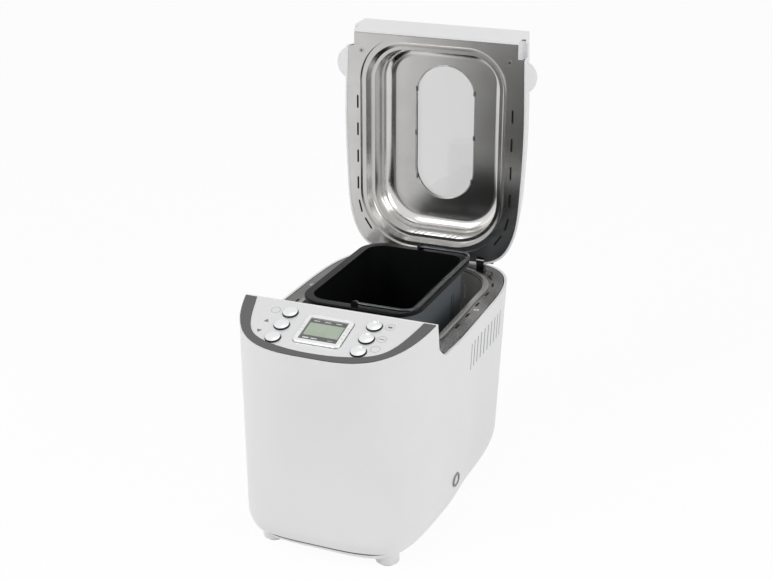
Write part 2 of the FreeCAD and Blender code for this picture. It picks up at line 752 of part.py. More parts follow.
def make_oven():
    low = OVEN_FLOOR_Z
    outer = oven_tub(OVEN_WALL_INSET - SHEET, low - SHEET)
    lip = prism_z(oven_plan(-OVEN_LIP, DECK_Z - 2 * SHEET), SHEET)
    bead = prism_z(oven_plan(0, DECK_Z - SHEET), SHEET + RIM_HEIGHT)
    bead = round_top(bead, DECK_Z + RIM_HEIGHT, RIM_EDGE_RADIUS)
    inner = oven_tub(OVEN_WALL_INSET, low)
    throat = prism_z(oven_plan(OVEN_WALL_INSET, DECK_Z - OVERCUT), THROUGH)
    hollow = prism_z(oven_plan(RIM_BEAD, DECK_Z), THROUGH)
    tub = fuse([outer, lip, bead])
    tub = cut_all(tub, [inner, throat, hollow])
    front = OVEN_CENTRE_Y - RIM_HALF_LENGTH
    tools = []
    for side in (-1, 1):
        x = side * REAR_SLOT_X
        for top_z in REAR_SLOT_TOP_Z:
            tools.append(box(x - REAR_SLOT_WIDTH / 2, x + REAR_SLOT_WIDTH / 2, OVEN_CENTRE_Y, FAR,
                             top_z - REAR_SLOT_HEIGHT, top_z))
        tools.append(rod(INSULATOR_RADIUS, (side * HEATER_LEAD_X, front, HEATER_Z), Y_AXIS, RIM_HALF_LENGTH))
    tools.append(rod(PROBE_RADIUS, (PROBE_X, front, PROBE_Z), Y_AXIS, RIM_HALF_LENGTH))
    for y in shaft_rows():
        tools.append(rod(BEARING_RADIUS, (0, y, low - THROUGH), Z_AXIS, 2 * THROUGH))
    return cut_all(tub, tools)


def shaft_rows():
    return [PAN_CENTRE_Y - PADDLE_PITCH / 2, PAN_CENTRE_Y + PADDLE_PITCH / 2]


def oven_front(z):
    return OVEN_CENTRE_Y - RIM_HALF_LENGTH + oven_inset(z)


def make_heater():
    inside = oven_inset(HEATER_Z) + HEATER_CLEARANCE
    front = oven_front(HEATER_Z) + HEATER_FRONT_CLEARANCE
    rear = OVEN_CENTRE_Y + RIM_HALF_LENGTH - inside
    side = RIM_HALF_WIDTH - inside
    out = oven_front(HEATER_Z) - HEATER_LEAD_OUT
    bend = HEATER_LEAD_BEND
    points = [(HEATER_LEAD_X, out, 0), (HEATER_LEAD_X, front, bend), (side, front, HEATER_CORNER),
              (side, rear, HEATER_CORNER), (-side, rear, HEATER_CORNER), (-side, front, HEATER_CORNER),
              (-HEATER_LEAD_X, front, bend), (-HEATER_LEAD_X, out, 0)]
    path = bent_path([(Vector(x, y, HEATER_Z), radius) for x, y, radius in points])
    ring = Part.Wire(Part.Circle(Vector(HEATER_LEAD_X, out, HEATER_Z), Y_AXIS, HEATER_RADIUS).toShape())
    return path.makePipeShell([ring], True, False)


def bent_path(corners):
    edges = []
    here = corners[0][0]
    for index in range(1, len(corners) - 1):
        point, radius = corners[index]
        before = (corners[index - 1][0] - point).normalize()
        after = (corners[index + 1][0] - point).normalize()
        half_turn = before.getAngle(after) / 2
        reach = radius / math.tan(half_turn)
        start = point + before * reach
        end = point + after * reach
        inward = (before + after).normalize()
        middle = point + inward * (radius / math.sin(half_turn) - radius)
        edges.append(Part.LineSegment(here, start).toShape())
        edges.append(Part.Arc(start, middle, end).toShape())
        here = end
    edges.append(Part.LineSegment(here, corners[-1][0]).toShape())
    return Part.Wire(edges)


def make_insulators():
    start = oven_front(HEATER_Z) - HEATER_LEAD_OUT + INSULATOR_SETBACK
    end = (HEATER_LEAD_X, start, HEATER_Z)
    return both_sides(tube(INSULATOR_RADIUS - WALL_FIT, HEATER_RADIUS, end, Y_AXIS, INSULATOR_LENGTH))


def make_heater_supports():
    x = RIM_HALF_WIDTH - oven_inset(HEATER_Z) - HEATER_CLEARANCE
    wide = HEATER_POST_HALF_WIDTH
    deep = HEATER_POST_HALF_DEPTH
    posts = []
    for y in shaft_rows():
        post = box(x - wide, x + wide, y - deep, y + deep, OVEN_FLOOR_Z, HEATER_Z)
        posts.append(post.cut(rod(HEATER_RADIUS, (x, y - THROUGH, HEATER_Z), Y_AXIS, 2 * THROUGH)))
    return Part.makeCompound(posts + [mirror_x(post) for post in posts])


def make_probe():
    tail = (PROBE_X, oven_front(PROBE_Z) - PROBE_TAIL, PROBE_Z)
    stem = rod(PROBE_RADIUS - WALL_FIT, tail, Y_AXIS, PROBE_LENGTH)
    return fuse([stem, rod(PROBE_RADIUS + PROBE_COLLAR, tail, Y_AXIS, PROBE_COLLAR_LENGTH)])


def pan_plan(grow, z):
    radius = PAN_CORNER + grow
    return rounded_rect(PAN_HALF_WIDTH + grow, PAN_HALF_LENGTH + grow, PAN_CENTRE_Y, radius, radius, z)


def make_pan():
    floor_z = PAN_FLOOR_Z
    low = floor_z - PAN_WALL
    outer = Part.makeLoft([pan_plan(PAN_WALL - PAN_TAPER, low), pan_plan(PAN_WALL, PAN_RIM_Z)], True)
    rim = prism_z(pan_plan(PAN_RIM_WIDTH, PAN_RIM_Z - PAN_RIM_DROP), PAN_RIM_DROP)
    rim = round_top(rim, PAN_RIM_Z, PAN_RIM_EDGE_RADIUS)
    under = prism_z(pan_plan(PAN_RIM_WIDTH - PAN_WALL, PAN_RIM_Z - PAN_RIM_DROP), PAN_RIM_DROP - PAN_WALL)
    rim = rim.cut(under)
    inner = Part.makeLoft([pan_plan(-PAN_TAPER, floor_z), pan_plan(0, PAN_RIM_Z + OVERCUT)], True)
    inner = round_bottom(inner, floor_z, PAN_FLOOR_RADIUS)
    ears = []
    for side in (-1, 1):
        y0 = ear_y(side) - PAN_EAR_THICKNESS / 2
        z = pivot_z()
        ear = rod(PAN_EAR_RADIUS, (0, y0, z), Y_AXIS, PAN_EAR_THICKNESS)
        foot = box(-PAN_EAR_RADIUS, PAN_EAR_RADIUS, y0, y0 + PAN_EAR_THICKNESS, PAN_RIM_Z - PAN_WALL, z)
        ears += [ear, foot]
    pan = fuse([outer, rim] + ears).cut(inner)
    holes = [rod(PAN_BUSH_RADIUS, (0, y, low - THROUGH), Z_AXIS, 2 * THROUGH) for y in shaft_rows()]
    return cut_all(pan, holes)


def pivot_z():
    return PAN_RIM_Z + HANDLE_LIFT


def ear_y(side):
    return PAN_CENTRE_Y + side * (PAN_HALF_LENGTH + PAN_RIM_WIDTH - PAN_EAR_INSET)


def arm_y(side):
    return ear_y(side) - side * (PAN_EAR_THICKNESS / 2 + HANDLE_SIDE_GAP + HANDLE_RADIUS)


def make_handle():
    z = pivot_z()
    front = arm_y(-1)
    rear = arm_y(1)
    start = HANDLE_EYE_RADIUS - HANDLE_EYE_LAP
    corners = [(Vector(start, front, z), 0), (Vector(HANDLE_SIDE_X, front, z), HANDLE_BEND),
               (Vector(HANDLE_SIDE_X, rear, z), HANDLE_BEND), (Vector(start, rear, z), 0)]
    path = bent_path(corners)
    ring = Part.Wire(Part.Circle(Vector(start, front, z), X_AXIS, HANDLE_RADIUS).toShape())
    bail = path.makePipeShell([ring], True, False)
    eyes = []
    bores = []
    for y in (front, rear):
        half = HANDLE_RADIUS - HANDLE_EYE_SETBACK
        eyes.append(rod(HANDLE_EYE_RADIUS, (0, y - half, z), Y_AXIS, 2 * half))
        bores.append(rod(PIVOT_RADIUS + PIVOT_GAP, (0, y - HANDLE_RADIUS, z), Y_AXIS, 2 * HANDLE_RADIUS))
    return cut_all(fuse([bail] + eyes), bores)


def make_handle_pivots():
    pins = []
    for side in (-1, 1):
        inner = arm_y(side) - side * (HANDLE_RADIUS + HANDLE_SIDE_GAP)
        outer = ear_y(side) - side * PAN_EAR_THICKNESS / 2
        axis = Vector(0, side, 0)
        pin = rod(PIVOT_RADIUS, (0, inner, pivot_z()), axis, abs(outer - inner))
        head = rod(PIVOT_RADIUS + PIVOT_HEAD, (0, inner - side * PIVOT_HEAD, pivot_z()), axis, PIVOT_HEAD)
        pins.append(fuse([pin, head]))
    return Part.makeCompound(pins)


def base_plan(grow, z):
    radius = PAN_BASE_CORNER + grow
    half_width = PAN_BASE_HALF_WIDTH + grow
    return rounded_rect(half_width, PAN_BASE_HALF_LENGTH + grow, PAN_CENTRE_Y, radius, radius, z)


def make_pan_base():
    low = OVEN_FLOOR_Z + PAN_BASE_GAP
    top = PAN_FLOOR_Z - PAN_WALL
    skirt = prism_z(base_plan(0, low), top - low)
    skirt = skirt.cut(prism_z(base_plan(-PAN_BASE_WALL, low - OVERCUT), top - low - PAN_BASE_WALL + OVERCUT))
    return cut_all(skirt, [rod(PAN_BUSH_RADIUS, (0, y, low), Z_AXIS, FAR) for y in shaft_rows()])


def make_pan_seat():
    low = OVEN_FLOOR_Z
    grow = PAN_BASE_GAP + SEAT_WALL
    ring = prism_z(base_plan(grow, low), SEAT_HEIGHT)
    return ring.cut(prism_z(base_plan(PAN_BASE_GAP, low - OVERCUT), SEAT_HEIGHT + 2 * OVERCUT))


def make_seat_clips():
    clips = []
    x = PAN_BASE_HALF_WIDTH + PAN_BASE_GAP + SEAT_WALL
    for y in shaft_rows():
        front = y - CLIP_HALF_WIDTH
        rear = y + CLIP_HALF_WIDTH
        clip = box(x, x + CLIP_THICKNESS, front, rear, OVEN_FLOOR_Z, OVEN_FLOOR_Z + SEAT_HEIGHT + CLIP_RISE)
        foot = box(x, x + CLIP_FOOT, front, rear, OVEN_FLOOR_Z, OVEN_FLOOR_Z + CLIP_THICKNESS)
        clips.append(fuse([clip, foot]))
    return Part.makeCompound(clips + [mirror_x(clip) for clip in clips])


def bush_top():
    return PAN_FLOOR_Z + PAN_BUSH_RISE


def hub_low():
    return bush_top() + SEAL_THICKNESS + DOG_GAP


def make_pan_bushes():
    bushes = []
    for y in shaft_rows():
        low = (0, y, bush_top() - PAN_BUSH_LENGTH)
        bushes.append(tube(PAN_BUSH_RADIUS, SHAFT_RADIUS + SHAFT_GAP, low, Z_AXIS, PAN_BUSH_LENGTH))
    return Part.makeCompound(bushes)


def make_shaft_seals():
    bore = SHAFT_RADIUS + SHAFT_GAP
    return Part.makeCompound([tube(SEAL_RADIUS, bore, (0, y, bush_top()), Z_AXIS, SEAL_THICKNESS)
                              for y in shaft_rows()])


def make_pan_shaft(y):
    low = OVEN_FLOOR_Z + DOG_LIFT + DOG_GAP
    shaft = rod(SHAFT_RADIUS, (0, y, low), Z_AXIS, hub_low() + PADDLE_HUB_HEIGHT - PADDLE_CAP - low)
    wing = box(-WING_LENGTH / 2, WING_LENGTH / 2, y - DOG_BAR / 2, y + DOG_BAR / 2, low, low + WING_HEIGHT)
    return fuse([shaft, wing])


def make_paddle(y):
    low = hub_low()
    hub = Part.makeCone(PADDLE_HUB_RADIUS, PADDLE_HUB_TOP_RADIUS, PADDLE_HUB_HEIGHT, Vector(0, 0, low))
    hub = round_top(hub, low + PADDLE_HUB_HEIGHT, PADDLE_HUB_ROUND)
    half = PADDLE_BLADE_THICKNESS / 2
    heel = Vector(0, -half, low)
    toe = Vector(PADDLE_REACH, -half, low)
    tip = Vector(PADDLE_TIP[0], -half, low + PADDLE_TIP[1])
    crest = Vector(PADDLE_CREST_REACH, -half, low + PADDLE_BLADE_HEIGHT)
    neck = Vector(0, -half, low + PADDLE_NECK_HEIGHT)
    bow = (tip + crest) * 0.5 + Vector(PADDLE_BOW, 0, PADDLE_BOW)
    edges = [Part.LineSegment(heel, toe), Part.LineSegment(toe, tip), Part.Arc(tip, bow, crest),
             Part.LineSegment(crest, neck), Part.LineSegment(neck, heel)]
    blade = Part.Face(Part.Wire([edge.toShape() for edge in edges])).extrude(Vector(0, 2 * half, 0))
    socket = rod(SHAFT_RADIUS, (0, 0, low - OVERCUT), Z_AXIS, PADDLE_HUB_HEIGHT - PADDLE_CAP + OVERCUT)
    paddle = fuse([hub, blade]).cut(socket)
    paddle.rotate(Vector(0, 0, 0), Z_AXIS, PADDLE_ANGLE)
    paddle.translate(Vector(0, y, 0))
    return paddle


def make_drive_shaft(y, bottom):
    top = OVEN_FLOOR_Z + DOG_LIFT
    shaft = rod(SHAFT_RADIUS, (0, y, bottom), Z_AXIS, top - bottom)
    disc = rod(DOG_RADIUS, (0, y, top - DOG_DISC), Z_AXIS, DOG_DISC)
    ring = tube(DOG_RADIUS, DOG_RADIUS - DOG_EAR_THICKNESS, (0, y, top), Z_AXIS, DOG_HEIGHT)
    half = DOG_EAR_HALF_WIDTH
    gap = DOG_BAR / 2 + DOG_GAP
    ears = [ring.common(box(-half, half, y + gap, y + DOG_RADIUS, top, FAR)),
            ring.common(box(-half, half, y - DOG_RADIUS, y - gap, top, FAR))]
    return fuse([shaft, disc] + ears)


def pulley(radius, y, z, bore):
    low = z - PULLEY_FLANGE
    width = PULLEY_WIDTH + 2 * PULLEY_FLANGE
    drum = rod(radius, (0, y, low), Z_AXIS, width)
    flanges = [rod(radius + PULLEY_FLANGE_RISE, (0, y, level), Z_AXIS, PULLEY_FLANGE)
               for level in (low, z + PULLEY_WIDTH)]
    return fuse([drum] + flanges).cut(rod(bore, (0, y, low), Z_AXIS, width))


def make_large_pulley(y):
    wheel = pulley(LARGE_PULLEY_RADIUS, y, LOWER_PULLEY_Z, SHAFT_RADIUS)
    holes = []
    for step in range(PULLEY_HOLE_COUNT):
        turn = 2 * math.pi * step / PULLEY_HOLE_COUNT
        place = (PULLEY_HOLE_CIRCLE * math.cos(turn), y + PULLEY_HOLE_CIRCLE * math.sin(turn), 0)
        holes.append(rod(PULLEY_HOLE_RADIUS, place, Z_AXIS, FAR))
    return cut_all(wheel, holes)


def belt(radius_a, y_a, radius_b, y_b, z):
    low = z + BELT_SIDE_GAP / 2
    width = PULLEY_WIDTH - BELT_SIDE_GAP
    inner = belt_loop(radius_a + BELT_GAP, y_a, radius_b + BELT_GAP, y_b, low)
    grow = BELT_GAP + BELT_THICKNESS
    outer = belt_loop(radius_a + grow, y_a, radius_b + grow, y_b, low)
    return prism_z(outer, width).cut(prism_z(inner, width))


def belt_loop(radius_a, y_a, radius_b, y_b, z):
    lean = math.asin((radius_b - radius_a) / (y_b - y_a))
    cos, sin = math.cos(lean), math.sin(lean)
    a_right = Vector(radius_a * cos, y_a - radius_a * sin, z)
    b_right = Vector(radius_b * cos, y_b - radius_b * sin, z)
    a_left = Vector(-a_right.x, a_right.y, z)
    b_left = Vector(-b_right.x, b_right.y, z)
    edges = [Part.LineSegment(a_right, b_right), Part.Arc(b_right, Vector(0, y_b + radius_b, z), b_left),
             Part.LineSegment(b_left, a_left), Part.Arc(a_left, Vector(0, y_a - radius_a, z), a_right)]
    return Part.Wire([edge.toShape() for edge in edges])


def make_bearings():
    low = CHASSIS_Z + CHASSIS_THICKNESS
    length = OVEN_FLOOR_Z + DOG_LIFT - DOG_DISC - BEARING_GAP - low
    radius = BEARING_RADIUS - WALL_FIT
    bore = SHAFT_RADIUS + SHAFT_GAP
    return Part.makeCompound([tube(radius, bore, (0, y, low), Z_AXIS, length) for y in shaft_rows()])


def make_chassis():
    z = CHASSIS_Z
    middle = (CHASSIS_FRONT_Y + CHASSIS_REAR_Y) / 2
    half = (CHASSIS_REAR_Y - CHASSIS_FRONT_Y) / 2
    outline = rounded_rect(CHASSIS_HALF_WIDTH, half, middle, CHASSIS_CORNER, CHASSIS_CORNER, z)
    floor = BASE_Z + HOUSING_WALL + BASE_PLATE_THICKNESS
    legs = [rod(CHASSIS_LEG_RADIUS, (side * CHASSIS_LEG_X, y, floor), Z_AXIS, z - floor)
            for side in (-1, 1) for y in CHASSIS_LEG_Y]
    plate = fuse([prism_z(outline, CHASSIS_THICKNESS)] + legs)
    tools = [rod(SHAFT_RADIUS + CHASSIS_HOLE_GAP, (0, y, z), Z_AXIS, CHASSIS_THICKNESS) for y in shaft_rows()]
    tools.append(rod(MOTOR_SHAFT_RADIUS + CHASSIS_HOLE_GAP, (0, MOTOR_Y, z), Z_AXIS, CHASSIS_THICKNESS))
    return cut_all(plate, tools)


def make_base_plate():
    z = BASE_Z + HOUSING_WALL
    plate = body_solid(BASE_OPENING_INSET - BASE_PLATE_OVERLAP, z, z + BASE_PLATE_THICKNESS)
    vents = []
    for index in range(BASE_VENT_COUNT):
        x = (index - (BASE_VENT_COUNT - 1) / 2) * BASE_VENT_PITCH
        place = (x, BASE_VENT_Y, z - THROUGH)
        vents.append(slot_along(BASE_VENT_LENGTH, BASE_VENT_WIDTH, 2 * THROUGH, place, 0))
    return cut_all(plate, vents)


def make_motor():
    z = CHASSIS_Z + CHASSIS_THICKNESS
    body = rod(MOTOR_RADIUS, (0, MOTOR_Y, z), Z_AXIS, MOTOR_HEIGHT)
    cap = rod(MOTOR_CAP_RADIUS, (0, MOTOR_Y, z + MOTOR_HEIGHT), Z_AXIS, MOTOR_CAP_HEIGHT)
    band = rod(MOTOR_RADIUS + MOTOR_BAND, (0, MOTOR_Y, z + MOTOR_BAND_LOW), Z_AXIS, MOTOR_BAND_HEIGHT)
    bore = rod(MOTOR_SHAFT_RADIUS + SHAFT_GAP, (0, MOTOR_Y, z), Z_AXIS, MOTOR_BORE_DEPTH)
    return fuse([body, band, cap]).cut(bore)


def make_motor_shaft():
    low = LOWER_PULLEY_Z - PULLEY_FLANGE
    top = CHASSIS_Z + CHASSIS_THICKNESS + MOTOR_SHAFT_DEPTH
    return rod(MOTOR_SHAFT_RADIUS, (0, MOTOR_Y, low), Z_AXIS, top - low)


def make_capacitor():
    z = CHASSIS_Z + CHASSIS_THICKNESS
    return rod(CAPACITOR_RADIUS, (CAPACITOR_X, MOTOR_Y, z), Z_AXIS, CAPACITOR_HEIGHT)


def make_power_board():
    z = CHASSIS_Z + CHASSIS_THICKNESS
    face = POWER_BOARD_X
    back = face + BOARD_THICKNESS
    half = POWER_BOARD_HALF_LENGTH
    board = box(face, back, MOTOR_Y - half, MOTOR_Y + half, z, z + POWER_BOARD_HEIGHT)
    parts = [(face - RELAY_DEPTH, face, RELAY_BOX), (face - RELAY_DEPTH, face, TRANSFORMER_BOX),
             (back, back + FUSE_DEPTH, FUSE_BOX)]
    blocks = [box(x0, x1, MOTOR_Y + y0, MOTOR_Y + y1, z + z0, z + z1) for x0, x1, (y0, y1, z0, z1) in parts]
    return Part.makeCompound([board] + blocks)


def side_wall_x(y, z):
    wall = body_solid(0, BASE_Z, HOUSING_TOP_Z)
    line = Part.LineSegment(Vector(0, y, z), Vector(FAR, y, z)).toShape()
    return wall.common(line).BoundBox.XMax


def side_openings():
    tools = []
    for index in range(VENT_COUNT):
        y = VENT_FIRST_Y + index * VENT_PITCH
        slot = box(SIDE_INNER_X, FAR, y - VENT_WIDTH / 2, y + VENT_WIDTH / 2, VENT_BOTTOM_Z, VENT_TOP_Z)
        tools += [slot, mirror_x(slot)]
    lip = ROCKER_FRAME - ROCKER_LIP
    tools.append(oval(ROCKER_HALF_LENGTH + lip, ROCKER_HALF_HEIGHT + lip, SIDE_INNER_X, FAR))
    tools.append(rod(GLAND_RADIUS, (-GLAND_X, REAR_INNER_Y, GLAND_Z), Y_AXIS, FAR))
    return tools


def oval(half_length, half_height, x0, x1):
    flat = half_length - half_height
    body = box(x0, x1, ROCKER_Y - flat, ROCKER_Y + flat, ROCKER_Z - half_height, ROCKER_Z + half_height)
    ends = [rod(half_height, (x0, ROCKER_Y + side * flat, ROCKER_Z), X_AXIS, x1 - x0) for side in (-1, 1)]
    return fuse([body] + ends)


def make_rocker_frame():
    face = side_wall_x(ROCKER_Y, ROCKER_Z)
    outer = body_solid(0, BASE_Z, HOUSING_TOP_Z)
    flange = oval(ROCKER_HALF_LENGTH + ROCKER_FRAME, ROCKER_HALF_HEIGHT + ROCKER_FRAME, face - ROCKER_BODY,
                  face + ROCKER_FLANGE).cut(outer)
    lip = ROCKER_FRAME - ROCKER_LIP - WALL_FIT
    sleeve = oval(ROCKER_HALF_LENGTH + lip, ROCKER_HALF_HEIGHT + lip, face - ROCKER_DEPTH,
                  face + ROCKER_FLANGE)
    bore = oval(ROCKER_HALF_LENGTH, ROCKER_HALF_HEIGHT, face - ROCKER_DEPTH + ROCKER_BACK, FAR)
    reach = ROCKER_HALF_HEIGHT + ROCKER_PIN_LAP
    pin = rod(ROCKER_PIN_RADIUS, (face - ROCKER_PIN_DEPTH, ROCKER_Y, ROCKER_Z - reach), Z_AXIS, 2 * reach)
    return fuse([fuse([flange, sleeve]).cut(bore), pin])


def make_rocker():
    face = side_wall_x(ROCKER_Y, ROCKER_Z)
    pivot = Vector(face - ROCKER_PIN_DEPTH, ROCKER_Y, ROCKER_Z)
    low = ROCKER_Z - ROCKER_HALF_HEIGHT
    tall = 2 * ROCKER_HALF_HEIGHT
    body = oval(ROCKER_HALF_LENGTH - ROCKER_GAP, ROCKER_HALF_HEIGHT - ROCKER_GAP, face - ROCKER_BODY,
                face + ROCKER_PROUD)
    dish = rod(ROCKER_DISH_RADIUS, (face + ROCKER_DISH_RADIUS + ROCKER_DISH, ROCKER_Y, low), Z_AXIS, tall)
    swing = rod(ROCKER_HALF_LENGTH, (pivot.x, ROCKER_Y, low), Z_AXIS, tall)
    bore = rod(ROCKER_PIN_RADIUS + SHAFT_GAP, (pivot.x, ROCKER_Y, low), Z_AXIS, tall)
    body = body.cut(dish).common(swing).cut(bore)
    body.rotate(pivot, Z_AXIS, ROCKER_TILT)
    return body


def make_gland():
    wall = body_solid(0, BASE_Z, HOUSING_TOP_Z)
    line = Part.LineSegment(Vector(-GLAND_X, 0, GLAND_Z), Vector(-GLAND_X, FAR, GLAND_Z)).toShape()
    face = wall.common(line).BoundBox.YMax
    root = (-GLAND_X, face - GLAND_ROOT, GLAND_Z)
    flange = rod(GLAND_RADIUS + GLAND_FLANGE, root, Y_AXIS, GLAND_ROOT + GLAND_FLANGE)
    sleeve_length = GLAND_SLEEVE + GLAND_FLANGE
    start = (-GLAND_X, face - GLAND_SLEEVE, GLAND_Z)
    sleeve = rod(GLAND_RADIUS - WALL_FIT, start, Y_AXIS, sleeve_length)
    return fuse([flange.cut(wall), sleeve]).cut(rod(GLAND_BORE, start, Y_AXIS, sleeve_length))


def foot_places():
    return [(side * FOOT_X, y) for y in (FOOT_FRONT_Y, FOOT_REAR_Y) for side in (-1, 1)]


def make_feet():
    outer = round_bottom(body_solid(0, BASE_Z, HOUSING_TOP_Z), BASE_Z, BASE_EDGE_RADIUS)
    opening = body_solid(BASE_OPENING_INSET, BASE_Z, DECK_Z)
    feet = []
    for x, y in foot_places():
        foot = rod(FOOT_RADIUS, (x, y, FOOT_PAD_THICKNESS), Z_AXIS, BASE_Z + FOOT_RISE)
        foot = round_bottom(foot, FOOT_PAD_THICKNESS, FOOT_EDGE_RADIUS)
        feet.append(foot.cut(outer).cut(opening).Solids[0])
    return Part.makeCompound(feet)


def make_foot_pads():
    pads = [rod(FOOT_PAD_RADIUS, (x, y, 0), Z_AXIS, FOOT_PAD_THICKNESS) for x, y in foot_places()]
    return Part.makeCompound(pads)


def lid_low():
    return DECK_Z + LID_GAP


def swing_open(shape):
    turned = shape.copy()
    turned.rotate(Vector(0, HINGE_Y, HINGE_Z), X_AXIS, -LID_TURN)
    return turned


def lid_outline(z, inset):
    rise = (z - lid_low()) / (LID_DRAFT_TOP_Z - lid_low())
    draw_in = LID_SIDE_DRAFT * rise + inset
    front = LID_FRONT_Y - LID_FRONT_LEAN * rise + inset
    rear = HINGE_Y + BARREL_RADIUS - inset - LID_REAR_DRAFT * rise
    half = [(LID_CORNER_HALF_WIDTH - draw_in, front)]
    half += [(x - draw_in, y - LID_REAR_TAPER * draw_in * max(0.0, y) / HINGE_Y) for x, y in LID_SIDE]
    half += [(LID_REAR_HALF_WIDTH - draw_in, rear - LID_REAR_BOW)]
    points = [Vector(x, y, z) for x, y in half] + [Vector(0, rear, z)]
    points += [Vector(-x, y, z) for x, y in reversed(half)]
    curve = Part.BSplineCurve()
    curve.interpolate(points)
    return Part.Wire([curve.toShape(), Part.LineSegment(points[-1], points[0]).toShape()])


def lid_solid(inset, low):
    body = Part.makeLoft([lid_outline(low, inset), lid_outline(LID_TOP_Z, inset)], True)
    front = (LID_FRONT_Y - LID_FRONT_LEAN, LID_DRAFT_TOP_Z)
    rear = (HINGE_Y + BARREL_RADIUS, LID_CROWN_REAR_Z)
    crown = [Vector(-FAR, y, z - inset) for y, z in (front,) + LID_CROWN + (rear,)]
    curve = Part.BSplineCurve()
    curve.interpolate(crown)
    behind = crown[-1] + Vector(0, LID_CROWN_RUN, -LID_CROWN_FALL)
    ahead = crown[0] - Vector(0, LID_CROWN_RUN, LID_CROWN_FALL)
    corners = [crown[-1], behind, Vector(-FAR, FAR, FAR), Vector(-FAR, -FAR, FAR), ahead, crown[0]]
    edges = [curve.toShape()]
    edges += [Part.LineSegment(a, b).toShape() for a, b in zip(corners, corners[1:])]
    above = Part.Face(Part.Wire(edges)).extrude(Vector(2 * FAR, 0, 0))
    return body.cut(above)


def window_plan(grow, z):
    half_width = WINDOW_HALF_WIDTH + grow
    corner = half_width - TOLERANCE
    return rounded_rect(half_width, WINDOW_HALF_LENGTH + grow, WINDOW_Y, corner, corner, z)


def make_lid_shell():
    low = lid_low()
    shell = lid_solid(0, low)
    hinge = Vector(0, HINGE_Y, HINGE_Z)
    grips = []
    for side in (-1, 1):
        centre = side * (GRIP_REACH - GRIP_RADIUS)
        grip = rod(GRIP_RADIUS, (centre, GRIP_Y, low), Z_AXIS, GRIP_THICKNESS)
        grips.append(round_top(grip, low + GRIP_THICKNESS, GRIP_EDGE_RADIUS))
    reach = HINGE_X + HINGE_LUG_WIDTH / 2 + HINGE_SIDE_GAP + HINGE_BOSS_WIDTH
    barrel = rod(BARREL_RADIUS - BARREL_SETBACK, (-reach, hinge.y, hinge.z), X_AXIS, 2 * reach)
    over_liner = low + SHEET + LINER_GAP
    barrel = barrel.cut(box(-FAR, FAR, 0, hinge.y - LINER_GAP, 0, over_liner))
    hollow = lid_solid(LID_WALL, low - OVERCUT).cut(barrel)
    slots = []
    bores = []
    for side in (-1, 1):
        lug = HINGE_LUG_WIDTH / 2 + HINGE_SIDE_GAP
        x = side * HINGE_X
        slots.append(rod(BARREL_RADIUS + BARREL_SETBACK, (x - lug, hinge.y, hinge.z), X_AXIS, 2 * lug))
        bores.append(rod(HINGE_PIN_RADIUS, (x - lug - HINGE_BOSS_WIDTH, hinge.y, hinge.z), X_AXIS,
                         2 * (lug + HINGE_BOSS_WIDTH)))
    below = box(-FAR, FAR, hinge.y, FAR, 0, hinge.z)
    corner = below.cut(rod(BARREL_RADIUS, (-FAR, hinge.y, hinge.z), X_AXIS, 2 * FAR))
    shell = fuse([shell] + grips)
    for tool in [corner, hollow] + slots + bores + lid_notches():
        shell = shell.cut(tool)
    shell = shell.cut(prism_z(window_plan(WINDOW_LAP, low), FAR))
    posts = []
    for side in (-1, 1):
        x = side * LID_SCREW_X
        foot = (x, LID_SCREW_Y, low + SHEET)
        post = tube(SCREW_BOSS_RADIUS, SCREW_SHANK_RADIUS, foot, Z_AXIS, SCREW_LENGTH)
        tall = rod(SCREW_BOSS_RADIUS, (x, LID_SCREW_Y, low + SHEET + SCREW_LENGTH), Z_AXIS, FAR)
        posts.append(fuse([post, tall.common(lid_solid(LID_WALL / 2, low))]))
    return swing_open(fuse([shell] + posts))


def lid_notches():
    low = lid_low() - OVERCUT
    top = lid_low() + LID_NOTCH_HEIGHT
    notch = box(LID_NOTCH_X, FAR, -FAR, LID_NOTCH_Y, low, top)
    return [notch, mirror_x(notch)]


def make_lid_liner():
    low = lid_low()
    flange = Part.Face(lid_outline(low, LID_WALL + LINER_GAP)).extrude(Vector(0, 0, SHEET))
    flange = cut_all(flange, liner_notches())
    channel = prism_z(oven_plan(-GROOVE_GAP - SHEET, low), GROOVE_DEPTH + SHEET)
    groove = prism_z(oven_plan(-GROOVE_GAP, low - OVERCUT), GROOVE_DEPTH + OVERCUT)
    groove = groove.cut(prism_z(oven_plan(RIM_BEAD + GROOVE_GAP, low - OVERCUT), GROOVE_DEPTH + OVERCUT))
    liner = fuse([flange, channel, dome_solid(SHEET)])
    tools = [groove, dome_solid(0), prism_z(window_plan(0, low), FAR)] + side_slots(low)
    for side in (-1, 1):
        place = (side * LID_SCREW_X, LID_SCREW_Y, low)
        tools.append(rod(SCREW_SHANK_RADIUS + WALL_FIT, place, Z_AXIS, THROUGH))
    return swing_open(cut_all(liner, tools))


def liner_notches():
    tools = lid_notches()
    half = HINGE_LUG_WIDTH / 2 + HINGE_SIDE_GAP
    for side in (-1, 1):
        x = side * HINGE_X
        tools.append(box(x - half, x + half, HINGE_Y - BARREL_RADIUS - BARREL_SETBACK, FAR, 0, FAR))
    tools.append(box(-FAR, FAR, HINGE_Y - 2 * LINER_GAP, FAR, 0, FAR))
    return tools


def dome_solid(grow):
    low = lid_low() - OVERCUT + grow
    ledge_z = lid_low() + DOME_LEDGE_DEPTH + grow
    top_z = lid_low() + DOME_DEPTH + grow
    mouth = RIM_BEAD + GROOVE_GAP + SHEET - grow
    funnel = Part.makeLoft([oven_plan(mouth, low), oven_plan(DOME_LEDGE_INSET - grow, ledge_z)], True)
    well = Part.makeLoft([oven_plan(DOME_WALL_INSET - grow, low),
                          oven_plan(DOME_WALL_INSET + DOME_DRAFT - grow, top_z)], True)
    return fuse([funnel, round_top(well, top_z, DOME_EDGE_RADIUS)])


